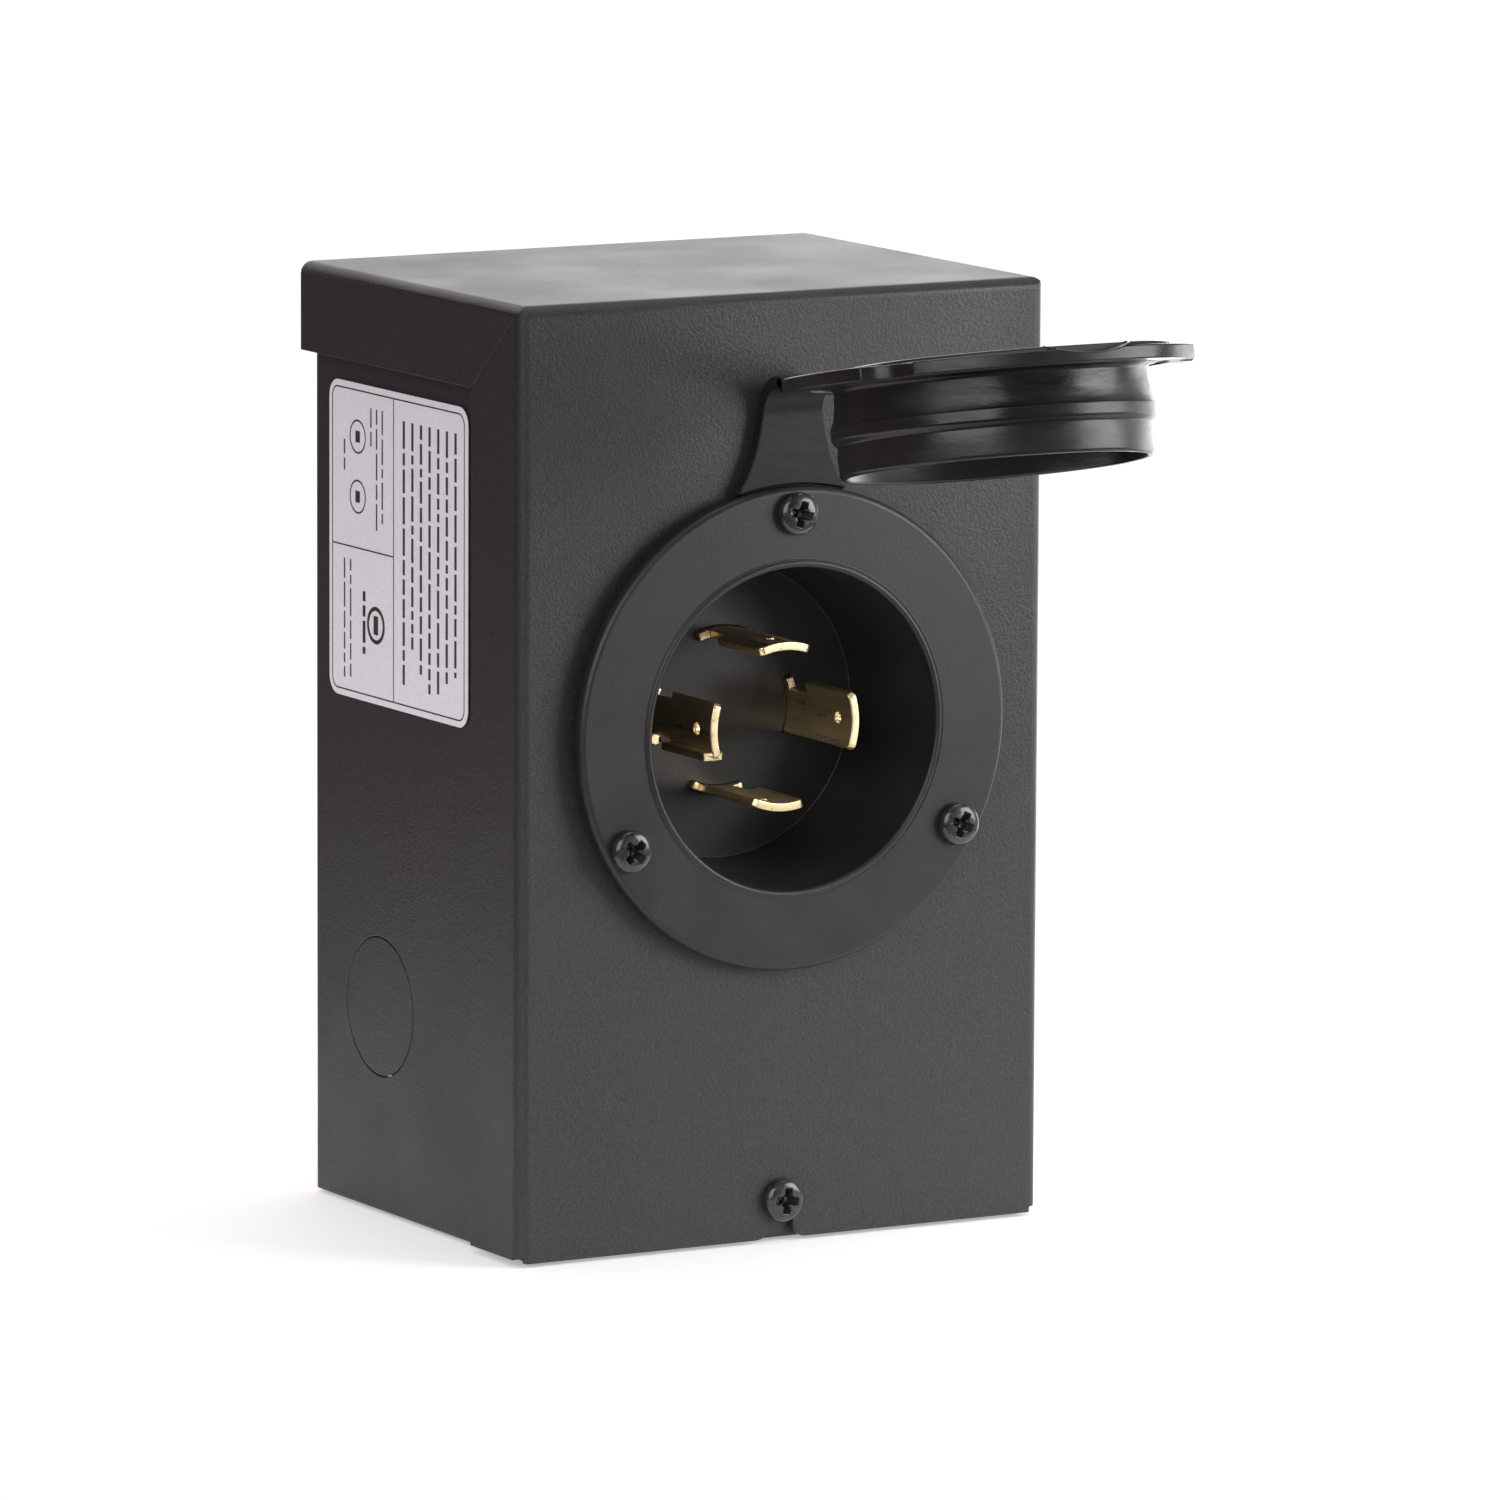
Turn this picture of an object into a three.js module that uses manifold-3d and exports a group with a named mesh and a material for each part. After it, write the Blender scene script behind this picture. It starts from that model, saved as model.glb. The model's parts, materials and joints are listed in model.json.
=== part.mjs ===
// Generator inlet box: a wall-mounted sheet-metal case whose lift-off front cover and hood carry a
// flanged four-blade locking inlet with a rubber flip cap.
// Millimetres, +Z up, front of the case facing -Y. The origin is the centre of the wall face.
import * as THREE from 'three';
import { mergeVertices } from 'three/addons/utils/BufferGeometryUtils.js';
import Module from 'manifold-3d';

const wasm = await Module();
wasm.setup();
const { Manifold, Mesh: SolidMesh } = wasm;

// ---------------------------------------------------------------- driving dimensions
const WIDTH = 113;          // over the cover's side flanges
const HEIGHT = 180;         // bottom of the case to the top of the hood
const DEPTH = 88;           // front face of the cover to the wall
const SHEET = 1.4;          // steel sheet
const BEND = 2.4;           // outer radius of the folds
const GAP = 0.3;            // clearance between pieces that touch
const INLET_Z = 98;         // inlet axis above the bottom of the case

const COVER_EDGE_Z = 0.6;   // lower edge of the cover's front panel
const COVER_FLANGE_Z = 1.5; // lower ends of the cover's side flanges
const COVER_FLANGE = 19.1;  // width of the cover's side flanges, outside
const HOOD_LIP = 17;        // height of the hood's side lips
const MITRE_SLIT = 0.35;    // open seam between a side flange and a hood lip

const CASE_INSET = 2.6;     // case side panels behind the cover's outer faces
const CASE_FRONT_Y = 1.8;   // front face of the case's lower front flange
const CASE_FLANGE_Z = 16;   // height of that flange
const ROOF_CLEARANCE = 0.8;  // between the hood's sheet and the case under it
const CASE_TOP_Z = HEIGHT - SHEET - ROOF_CLEARANCE;
const CASE_TOP_FLANGE = 14; // depth of the flange under the rear of the hood
const CASE_HALF = WIDTH / 2 - CASE_INSET;

const FLANGE_R = 45.8;      // inlet flange
const FLANGE_FRONT = -4.2;
const FLANGE_BACK = -1.8;
const FLANGE_ROUND = 1.2;
const GASKET_BACK = -GAP;
const GASKET_FRONT = -1.5;
const GASKET_INSET = 0.8;   // gasket's edge inside the flange's
const MOUTH_R = 30.6;       // clear opening of the inlet
const MOUTH_ROUND = 1.2;
const FLOOR_R = 28.4;       // recess floor
const FLOOR_Y = 24.3;
const CUP_R = 33;
const CUP_BACK = 26.6;
const CUP_CLEARANCE = 1.2;  // between the cup and the hole in the cover
const RECESS_STEP = { inset: 0.4, y: FLANGE_FRONT + 17 };
const SCREW_PITCH_R = 40.85;
const FLANGE_SCREW_ANGLES = { top: 90, left: 210, right: 330 };

const PAN_HEAD_R = 4.1;
const PAN_HEAD_H = 2.3;
const HEAD_CLEARANCE = 0.25; // between a flange screw's head and the flange
const SHANK_R = 2;
const SCREW_HOLE_R = 2.4;

const BLADE_R = 15.3;       // middle of the blade circle
const BLADE_T = 1.6;
const BLADE_W = 11;
const BLADE_TIP_DEPTH = 3.6; // tips behind the front of the flange
const BLADE_HEAD = 16.5;    // full-width length behind the tip
const BLADE_TIP_Y = FLANGE_FRONT + BLADE_TIP_DEPTH;
const BLADE_NECK_Y = BLADE_TIP_Y + BLADE_HEAD;
const BLADE_NECK = { from: 1.2, to: 4 }; // cut back at the clockwise and anticlockwise edges
const TIP_HOLE = { radius: 1.1, behindTip: 5.5 };
const BLADE_SHOULDER_Y = FLOOR_Y - 1.6;
const BLADE_END_Y = 42;

const TERMINAL_BODY_R = 28.5;
const TERMINAL_BODY_FRONT = CUP_BACK + GAP;
const TERMINAL_BODY_BACK = 47;
const TERMINAL_BODY_CHAMFER = 1.5;
const TERMINAL_Y = 36.5;    // middle of the wire terminals
const POCKET_W = 16;
const POCKET_R = 11.5;      // inner end of a terminal pocket
const POCKET_FRONT = 29.5;
const POCKET_BACK = 44.5;
const BODY_SCREW_R = 21;

const HINGE_Y = -8.7;       // flip cap's living hinge
const HINGE_Z = INLET_Z + 66.2;
const HINGE_KNUCKLE_R = 2;
const CAP_OPEN_DEG = 100.4; // turn from shut to the resting, open position
const CAP_R = 37.6;
const CAP_PLATE = 2.4;
const CAP_CROWN_R = 29.4;   // raised pad on the cap's outer face
const CAP_CROWN_DROP = 8;
const CAP_CROWN_T = 0.9;
const CAP_ROUND = 0.8;
const CAP_SEAT_GAP = 0.35;  // between the shut cap and the flange
const CAP_NOTCH = { radius: 6.5, topRadius: 5.6, topDepth: 1.05 }; // reliefs over the screw heads
const CAP_SCOOP = { radius: 26, depth: 1.6, height: 3.4 };         // finger scoop at the tip
const CAP_ARM = { front: -0.75, back: 1.9, length: 41, tipBack: 0.4, tipLength: 42 };
const SKIRT_R = 29.1;
const SKIRT_WALL = 4;
const SKIRT_LENGTH = 15.8;
const SKIRT_BEAD = { radius: 29.7, rise: 6.4, from: 7.6, to: 9.2, fall: 10.2 };
const SKIRT_TAPER = { from: 12.4, start: 0.2, end: 1.6 };
const SKIRT_LIP = { back: 1.5, inset: 0.6, draft: 0.5 };
const STRAP_HALF = 8;
const STRAP_FOOT_HALF = 10.5;
const STRAP_T = 2.5;
const STRAP_BEND_R = 2.6;   // inside of the strap's bend
const STRAP_KNUCKLE_DROP = 1.9;
const STRAP_FOOT = { overlap: 5, flareFrom: 1.2, flareTo: 4 };

const KNOCKOUT_R = 13.3;
const KNOCKOUT_GAP = 0.3;
const SIDE_KNOCKOUT = { y: 60.3, z: 39.7 };
const BOTTOM_KNOCKOUT_Y = 48;
const BACK_KNOCKOUT_Z = 45;
const LABEL = { y0: 24.2, y1: 80.1, z0: 97.9, z1: 158.5, thickness: 0.2, corner: 3.5 };

const COVER_SCREW_Z = 7.7;
const SLOT_HALF = 2.5;
const SLOT_MOUTH_ROUND = 2.8; // rounded corners where the slot opens at the cover's lower edge

const ROUND_SEGMENTS = 40;
const SMALL_SEGMENTS = 14;
const FOLD_SEGMENTS = 4;

// ---------------------------------------------------------------- geometry to solid and back
function signedVolume(position, index) {
  const corner = [0, 1, 2].map(() => new THREE.Vector3());
  let volume = 0;
  for (let i = 0; i < index.length; i += 3) {
    corner.forEach((point, k) => point.fromArray(position, index[i + k] * 3));
    volume += corner[0].dot(corner[1].cross(corner[2]));
  }
  return volume;
}

function toSolid(geometry) {
  const bare = geometry.clone();
  bare.deleteAttribute('normal');
  bare.deleteAttribute('uv');
  const merged = mergeVertices(bare, 1e-5);
  const position = merged.attributes.position.array;
  const index = [];
  for (let i = 0; i < merged.index.array.length; i += 3) {
    const [a, b, c] = merged.index.array.slice(i, i + 3);
    if (a !== b && b !== c && c !== a) index.push(a, b, c);
  }
  if (signedVolume(position, index) < 0) index.reverse();
  return new Manifold(new SolidMesh({
    numProp: 3,
    vertProperties: new Float32Array(position),
    triVerts: new Uint32Array(index),
  }));
}

function toGeometry(solid) {
  const mesh = solid.getMesh();
  const geometry = new THREE.BufferGeometry();
  geometry.setAttribute('position', new THREE.BufferAttribute(mesh.vertProperties, 3));
  geometry.setIndex(new THREE.BufferAttribute(mesh.triVerts, 1));
  geometry.computeVertexNormals();
  return geometry;
}

const joined = (...solids) => solids.reduce((sum, solid) => sum.add(solid));
const without = (solid, ...cuts) => cuts.reduce((rest, cut) => rest.subtract(cut), solid);

// ---------------------------------------------------------------- shapes
function outline(points) {
  return new THREE.Shape(points.map(([u, v]) => new THREE.Vector2(u, v)));
}

// A rectangle whose four corners each have their own radius, in the order
// low-low, high-low, high-high, low-high.
function roundedRect(u0, u1, v0, v1, radii) {
  const [a, b, c, d] = radii;
  const shape = new THREE.Shape();
  shape.moveTo(u0 + a, v0);
  shape.lineTo(u1 - b, v0);
  if (b) shape.absarc(u1 - b, v0 + b, b, -Math.PI / 2, 0);
  shape.lineTo(u1, v1 - c);
  if (c) shape.absarc(u1 - c, v1 - c, c, 0, Math.PI / 2);
  shape.lineTo(u0 + d, v1);
  if (d) shape.absarc(u0 + d, v1 - d, d, Math.PI / 2, Math.PI);
  shape.lineTo(u0, v0 + a);
  if (a) shape.absarc(u0 + a, v0 + a, a, Math.PI, 1.5 * Math.PI);
  return shape;
}

function extrude(shape, length, curveSegments = FOLD_SEGMENTS) {
  return new THREE.ExtrudeGeometry(shape, { depth: length, bevelEnabled: false, curveSegments });
}

const alongZ = (shape, z0, z1, segments) =>
  toSolid(extrude(shape, z1 - z0, segments).translate(0, 0, z0));

// The shape's axes are X and Z.
const alongY = (shape, y0, y1, segments) =>
  toSolid(extrude(shape, y1 - y0, segments).rotateX(Math.PI / 2).translate(0, y1, 0));

// The shape's axes are Y and Z.
function alongX(shape, x0, x1, segments) {
  const turn = new THREE.Matrix4().makeBasis(
    new THREE.Vector3(0, 1, 0), new THREE.Vector3(0, 0, 1), new THREE.Vector3(1, 0, 0));
  return toSolid(extrude(shape, x1 - x0, segments).applyMatrix4(turn).translate(x0, 0, 0));
}

const block = (x0, x1, y0, y1, z0, z1) => toSolid(
  new THREE.BoxGeometry(x1 - x0, y1 - y0, z1 - z0)
    .translate((x0 + x1) / 2, (y0 + y1) / 2, (z0 + z1) / 2));

const rodY = (radius, x, z, y0, y1, segments = SMALL_SEGMENTS) => toSolid(
  new THREE.CylinderGeometry(radius, radius, y1 - y0, segments).translate(x, (y0 + y1) / 2, z));

const rodX = (radius, y, z, x0, x1, segments = SMALL_SEGMENTS) => toSolid(
  new THREE.CylinderGeometry(radius, radius, x1 - x0, segments).rotateZ(Math.PI / 2)
    .translate((x0 + x1) / 2, y, z));

const rodZ = (radius, x, y, z0, z1, segments = SMALL_SEGMENTS) => toSolid(
  new THREE.CylinderGeometry(radius, radius, z1 - z0, segments).rotateX(Math.PI / 2)
    .translate(x, y, (z0 + z1) / 2));

// A ring or disc turned about the Y axis from [radius, y] points.
const turned = (profile, segments = ROUND_SEGMENTS) => toSolid(
  new THREE.LatheGeometry(profile.map(([r, y]) => new THREE.Vector2(r, y)), segments));

// Quarter-round points about (r, y), from one angle in degrees to another.
function arc(r, y, radius, from, to, steps) {
  return Array.from({ length: steps + 1 }, (_, i) => {
    const angle = THREE.MathUtils.degToRad(from + (to - from) * i / steps);
    return [r + radius * Math.cos(angle), y + radius * Math.sin(angle)];
  });
}

function aroundInlet(radius, degrees) {
  const angle = THREE.MathUtils.degToRad(degrees);
  return { x: radius * Math.cos(angle), z: INLET_Z + radius * Math.sin(angle) };
}

// ---------------------------------------------------------------- finishes and nodes
const FINISH = {
  powder: { color: 0x2f3032, roughness: 0.55, metalness: 0.1 },
  moulded: { color: 0x1c1d1f, roughness: 0.42, metalness: 0 },
  rubber: { color: 0x151517, roughness: 0.32, metalness: 0 },
  blackScrew: { color: 0x101012, roughness: 0.22, metalness: 0.7 },
  brass: { color: 0xd2a24c, roughness: 0.24, metalness: 1 },
  zinc: { color: 0xb9bcc0, roughness: 0.35, metalness: 1 },
  green: { color: 0x2c7a45, roughness: 0.4, metalness: 0.4 },
  label: { color: 0xd6d8db, roughness: 0.4, metalness: 0.2 },
};

function node(name, solid, finish) {
  const mesh = new THREE.Mesh(toGeometry(solid), new THREE.MeshStandardMaterial(FINISH[finish]));
  mesh.name = name;
  return mesh;
}

// ---------------------------------------------------------------- sheet-metal case
// A block with the folds of a case: radii on its upright edges and on its long edges.
function foldedBlock({ half, front, back, bottom, top, frontR, backR, bottomR, topR }) {
  const plan = roundedRect(-half, half, front, back, [frontR, frontR, backR, backR]);
  const face = roundedRect(-half, half, bottom, top, [bottomR, bottomR, topR, topR]);
  const sideRadii = [[frontR, bottomR], [backR, bottomR], [backR, topR], [frontR, topR]]
    .map(([a, b]) => Math.min(a, b));
  const side = roundedRect(front, back, bottom, top, sideRadii);
  return alongZ(plan, bottom, top).intersect(alongY(face, front, back))
    .intersect(alongX(side, -half, half));
}

// The cover's open slot for its screw: a round end above, rounded corners at its mouth below.
function slotCut() {
  const cornerX = SLOT_HALF + SLOT_MOUTH_ROUND;
  const cornerZ = COVER_EDGE_Z + SLOT_MOUTH_ROUND;
  const shape = new THREE.Shape();
  shape.moveTo(-cornerX, COVER_EDGE_Z - SHEET);
  shape.lineTo(cornerX, COVER_EDGE_Z - SHEET);
  shape.lineTo(cornerX, COVER_EDGE_Z);
  shape.absarc(cornerX, cornerZ, SLOT_MOUTH_ROUND, -Math.PI / 2, -Math.PI, true);
  shape.lineTo(SLOT_HALF, COVER_SCREW_Z);
  shape.absarc(0, COVER_SCREW_Z, SLOT_HALF, 0, Math.PI);
  shape.lineTo(-SLOT_HALF, cornerZ);
  shape.absarc(-cornerX, cornerZ, SLOT_MOUTH_ROUND, 0, -Math.PI / 2, true);
  return alongY(shape, -1, SHEET + 1);
}

function mitreSlit(side) {
  const lowZ = HEIGHT - HOOD_LIP;
  const start = new THREE.Vector2(BEND, HEIGHT - BEND);
  const end = new THREE.Vector2(COVER_FLANGE + 1, lowZ - 1);
  const across = end.clone().sub(start).normalize().rotateAround(new THREE.Vector2(), Math.PI / 2)
    .multiplyScalar(MITRE_SLIT / 2);
  const corners = [start.clone().add(across), start.clone().sub(across),
    end.clone().sub(across), end.clone().add(across)];
  const shape = new THREE.Shape(corners);
  const outer = side * (WIDTH / 2 + 1);
  const inner = side * (WIDTH / 2 - SHEET - 1);
  return alongX(shape, Math.min(outer, inner), Math.max(outer, inner));
}

function frontCover() {
  const outer = foldedBlock({ half: WIDTH / 2, front: 0, back: DEPTH, bottom: COVER_EDGE_Z,
    top: HEIGHT, frontR: BEND, backR: 0, bottomR: 0, topR: BEND });
  const inner = foldedBlock({ half: WIDTH / 2 - SHEET, front: SHEET, back: DEPTH + 1,
    bottom: COVER_EDGE_Z - 1, top: HEIGHT - SHEET, frontR: BEND - SHEET, backR: 0, bottomR: 0,
    topR: BEND - SHEET });
  const behindFlanges = block(-WIDTH, WIDTH, COVER_FLANGE, DEPTH + 1, -1, HEIGHT - HOOD_LIP);
  const flangeEnds = [-1, 1].map((side) => block(
    side * WIDTH / 2 - BEND, side * WIDTH / 2 + BEND, BEND, COVER_FLANGE + 1, -1, COVER_FLANGE_Z));
  const screwHoles = Object.values(FLANGE_SCREW_ANGLES).map((angle) => {
    const { x, z } = aroundInlet(SCREW_PITCH_R, angle);
    return rodY(SCREW_HOLE_R, x, z, -1, SHEET + 1);
  });
  return without(outer, inner, behindFlanges, ...flangeEnds, mitreSlit(-1), mitreSlit(1),
    rodY(CUP_R + CUP_CLEARANCE, 0, INLET_Z, -1, SHEET + 1, ROUND_SEGMENTS), slotCut(),
    ...screwHoles);
}

const MOUNTING_HOLES = [[-36, 22], [36, 22], [-36, 150], [36, 150]];
const MOUNTING_HOLE_R = 2.6;
const GROUND_SCREW = { x: 30, z: 86 };
const GROUND_LUG = { x: 30, z: 60, width: 11, depth: 12, below: 5, above: 15 };
const GROUND_WIRE = { above: 9, fromWall: 6.5, radius: 2.7 };
const RIVET_NUT_R = 3.3;

function backBox() {
  const common = { front: CASE_FRONT_Y, back: DEPTH, bottom: 0, top: CASE_TOP_Z };
  const outer = foldedBlock({ ...common, half: CASE_HALF, frontR: BEND, backR: BEND,
    bottomR: BEND, topR: BEND });
  const inside = { front: CASE_FRONT_Y + SHEET, back: DEPTH - SHEET, bottom: SHEET,
    top: CASE_TOP_Z - SHEET };
  const innerR = BEND - SHEET;
  const inner = foldedBlock({ ...inside, half: CASE_HALF - SHEET, frontR: innerR, backR: innerR,
    bottomR: innerR, topR: innerR });
  const frontOpening = block(-CASE_HALF, CASE_HALF, 0, CASE_FRONT_Y + BEND,
    CASE_FLANGE_Z, HEIGHT);
  const topOpening = block(-CASE_HALF - 1, CASE_HALF + 1, 0, DEPTH - CASE_TOP_FLANGE,
    CASE_TOP_Z - BEND, HEIGHT);
  const cut = KNOCKOUT_R + KNOCKOUT_GAP;
  const knockouts = [
    rodX(cut, SIDE_KNOCKOUT.y, SIDE_KNOCKOUT.z, -WIDTH, WIDTH, ROUND_SEGMENTS / 2),
    rodZ(cut, 0, BOTTOM_KNOCKOUT_Y, -1, SHEET + 1, ROUND_SEGMENTS / 2),
    rodY(cut, 0, BACK_KNOCKOUT_Z, DEPTH - SHEET - 1, DEPTH + 1, ROUND_SEGMENTS / 2),
  ];
  const holes = MOUNTING_HOLES.map(([x, z]) =>
    rodY(MOUNTING_HOLE_R, x, z, DEPTH - SHEET - 1, DEPTH + 1));
  const groundHoles = [GROUND_SCREW, GROUND_LUG].map(({ x, z }) =>
    rodY(SHANK_R + GAP, x, z, DEPTH - SHEET - 1, DEPTH + 1));
  const rivetNutHole = rodY(RIVET_NUT_R + GAP, 0, COVER_SCREW_Z, 0, CASE_FRONT_Y + SHEET + 1);
  return without(outer, inner, frontOpening, topOpening, ...knockouts, ...holes, ...groundHoles,
    rivetNutHole);
}

function knockoutNodes() {
  const { y, z } = SIDE_KNOCKOUT;
  const faces = ROUND_SEGMENTS / 2;
  return [
    node('knockout_left', rodX(KNOCKOUT_R, y, z, -CASE_HALF, -CASE_HALF + SHEET, faces), 'powder'),
    node('knockout_right', rodX(KNOCKOUT_R, y, z, CASE_HALF - SHEET, CASE_HALF, faces), 'powder'),
    node('knockout_bottom', rodZ(KNOCKOUT_R, 0, BOTTOM_KNOCKOUT_Y, 0, SHEET, faces), 'powder'),
    node('knockout_back',
      rodY(KNOCKOUT_R, 0, BACK_KNOCKOUT_Z, DEPTH - SHEET, DEPTH, faces), 'powder'),
  ];
}

function ratingLabel() {
  const { y0, y1, z0, z1, thickness, corner } = LABEL;
  const face = -CASE_HALF - GAP;
  return alongX(roundedRect(y0, y1, z0, z1, Array(4).fill(corner)), face - thickness, face);
}

// ---------------------------------------------------------------- screws and nuts
const HEAD_CROWN = 0.62;    // share of a pan head's height that is rounded
const CROSS = { arm: 0.14, reach: 0.55, floor: 0.45 }; // recess, as shares of the head's radius and height

// A pan-head cross-recess screw on the Y axis, its head's underside at y = 0 and facing -Y.
function panScrew({ shankLength, headR = PAN_HEAD_R, headH = PAN_HEAD_H, shankR = SHANK_R }) {
  const round = headH * HEAD_CROWN;
  const crown = arc(headR - round, round - headH, round, 0, -90, 4);
  const head = turned([[0, 0], [headR, 0], ...crown, [0, -headH]], SMALL_SEGMENTS);
  const shank = rodY(shankR, 0, 0, -headH / 4, shankLength, 12);
  const arm = headR * CROSS.arm;
  const reach = headR * CROSS.reach;
  const floor = -headH * CROSS.floor;
  const recess = [block(-reach, reach, -headH - 1, floor, -arm, arm),
    block(-arm, arm, -headH - 1, floor, -reach, reach)];
  return without(joined(head, shank), ...recess);
}

const hexPrismY = (acrossFlats, x, z, y0, y1) => toSolid(
  new THREE.CylinderGeometry(acrossFlats / Math.sqrt(3), acrossFlats / Math.sqrt(3), y1 - y0, 6)
    .translate(x, (y0 + y1) / 2, z));

const NUT_FLATS = 8.7;
const NUT_T = 3.1;
const FLANGE_SCREW_LENGTH = 11.5;

function flangeFasteners() {
  return Object.entries(FLANGE_SCREW_ANGLES).flatMap(([place, angle]) => {
    const { x, z } = aroundInlet(SCREW_PITCH_R, angle);
    const headSeat = FLANGE_FRONT - HEAD_CLEARANCE;
    const screw = panScrew({ shankLength: FLANGE_SCREW_LENGTH }).rotate([0, angle / 3, 0])
      .translate([x, headSeat, z]);
    const nutFront = SHEET + GAP;
    const nut = without(hexPrismY(NUT_FLATS, x, z, nutFront, nutFront + NUT_T),
      rodY(SHANK_R + GAP, x, z, 0, nutFront + NUT_T + 1, 12));
    return [node(`flange_screw_${place}`, screw, 'blackScrew'),
      node(`flange_nut_${place}`, nut, 'zinc')];
  });
}

const COVER_SCREW = { length: 9, turn: 12 };
const RIVET_NUT = { collar: 1.6, collarT: 1.2, length: 7 };

function coverFasteners() {
  const screw = panScrew({ shankLength: COVER_SCREW.length }).rotate([0, COVER_SCREW.turn, 0])
    .translate([0, -GAP, COVER_SCREW_Z]);
  const front = CASE_FRONT_Y + SHEET + GAP;
  const { collar, collarT, length } = RIVET_NUT;
  const nut = without(
    joined(rodY(RIVET_NUT_R + collar, 0, COVER_SCREW_Z, front, front + collarT),
      rodY(RIVET_NUT_R, 0, COVER_SCREW_Z, CASE_FRONT_Y + GAP, front + length)),
    rodY(SHANK_R + GAP, 0, COVER_SCREW_Z, 0, front + length + 1, 12));
  return [node('cover_screw', screw, 'blackScrew'), node('cover_rivet_nut', nut, 'zinc')];
}

const LUG_SCREW_HEAD = { headR: 3.4, headH: 2 };
const SET_SCREW = { proud: 1.5, slotHalf: 0.4, slotFloor: 0.5 };
const BOND_SCREW = { flats: 7.2, washerR: 5, washerT: 1.2, headFront: -4.2 };

// The lug with its two screws, and the green bonding screw; none of them reaches the wall plane.
function groundParts() {
  const wall = DEPTH - SHEET - GAP;
  const screwEnd = DEPTH - GAP;
  const { x, z, width, depth, below, above } = GROUND_LUG;
  const wireY = wall - GROUND_WIRE.fromWall;
  const wireZ = z + GROUND_WIRE.above;
  const lugFront = wall - depth;
  const lug = without(
    block(x - width / 2, x + width / 2, lugFront, wall, z - below, z + above),
    rodX(GROUND_WIRE.radius, wireY, wireZ, x - width, x + width),
    rodY(SHANK_R + GAP, x, z, lugFront - 1, wall + 1, 12),
    rodY(SHANK_R + 2 * GAP, x, wireZ, lugFront - 1, wireY, 12));
  const headSeat = lugFront - GAP;
  const lugScrew = panScrew({ shankLength: screwEnd - headSeat, ...LUG_SCREW_HEAD })
    .translate([x, headSeat, z]);
  const { proud, slotHalf, slotFloor } = SET_SCREW;
  const setScrew = without(
    rodY(SHANK_R + GAP, x, wireZ, lugFront - proud, wireY - GROUND_WIRE.radius),
    block(x - width, x + width, lugFront - proud - 1, lugFront - slotFloor,
      wireZ - slotHalf, wireZ + slotHalf));
  const { flats, washerR, washerT, headFront } = BOND_SCREW;
  const bond = joined(hexPrismY(flats, 0, 0, headFront, -washerT / 2), rodY(washerR, 0, 0, -washerT, 0),
    rodY(SHANK_R, 0, 0, -washerT / 2, screwEnd - wall, 12))
    .translate([GROUND_SCREW.x, wall, GROUND_SCREW.z]);
  return [node('ground_lug', lug, 'zinc'), node('ground_lug_screw', lugScrew, 'zinc'),
    node('ground_wire_screw', setScrew, 'zinc'), node('ground_bond_screw', bond, 'green')];
}

// ---------------------------------------------------------------- flanged inlet
function inletHousing() {
  const profile = [
    [0, CUP_BACK], [CUP_R, CUP_BACK], [CUP_R, FLANGE_BACK], [FLANGE_R, FLANGE_BACK],
    ...arc(FLANGE_R - FLANGE_ROUND, FLANGE_FRONT + FLANGE_ROUND, FLANGE_ROUND, 0, -90, 3),
    ...arc(MOUTH_R + MOUTH_ROUND, FLANGE_FRONT + MOUTH_ROUND, MOUTH_ROUND, -90, -180, 4),
    [MOUTH_R - RECESS_STEP.inset, RECESS_STEP.y], [FLOOR_R, FLOOR_Y], [0, FLOOR_Y],
  ];
  const cup = turned(profile).translate([0, 0, INLET_Z]);
  const screwHoles = Object.values(FLANGE_SCREW_ANGLES).map((angle) => {
    const { x, z } = aroundInlet(SCREW_PITCH_R, angle);
    return rodY(SCREW_HOLE_R, x, z, FLANGE_FRONT - 1, FLANGE_BACK + 1);
  });
  const slots = BLADES.map(({ angle, hooked }) =>
    placeAtBlade(bladeSlot(hooked), angle, FLOOR_Y - 1, CUP_BACK + 1));
  const bodyScrewHoles = BODY_SCREW_ANGLES.map((angle) => {
    const { x, z } = aroundInlet(BODY_SCREW_R, angle);
    return rodY(SHANK_R, x, z, FLOOR_Y + 1, CUP_BACK + 1, 12);
  });
  return without(cup, ...screwHoles, ...slots, ...bodyScrewHoles);
}

const BLADES = [
  { name: 'hot_blade_x', angle: 90 },
  { name: 'neutral_blade', angle: 0 },
  { name: 'hot_blade_y', angle: 270 },
  { name: 'ground_blade', angle: 180, hooked: true },
];
const BODY_SCREW_ANGLES = [45, 225];
const HOOK_LENGTH = 3.2;

// Blade sections are drawn with the radius along u and the anticlockwise side along +v.
function bladeSection(v0, v1, grow = 0) {
  const inner = BLADE_R - BLADE_T / 2 - grow;
  const outer = BLADE_R + BLADE_T / 2 + grow;
  const a0 = (v0 - grow) / BLADE_R;
  const a1 = (v1 + grow) / BLADE_R;
  const shape = new THREE.Shape();
  shape.moveTo(inner * Math.cos(a0), inner * Math.sin(a0));
  shape.lineTo(outer * Math.cos(a0), outer * Math.sin(a0));
  shape.absarc(0, 0, outer, a0, a1);
  shape.lineTo(inner * Math.cos(a1), inner * Math.sin(a1));
  shape.absarc(0, 0, inner, a1, a0, true);
  return shape;
}

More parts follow.
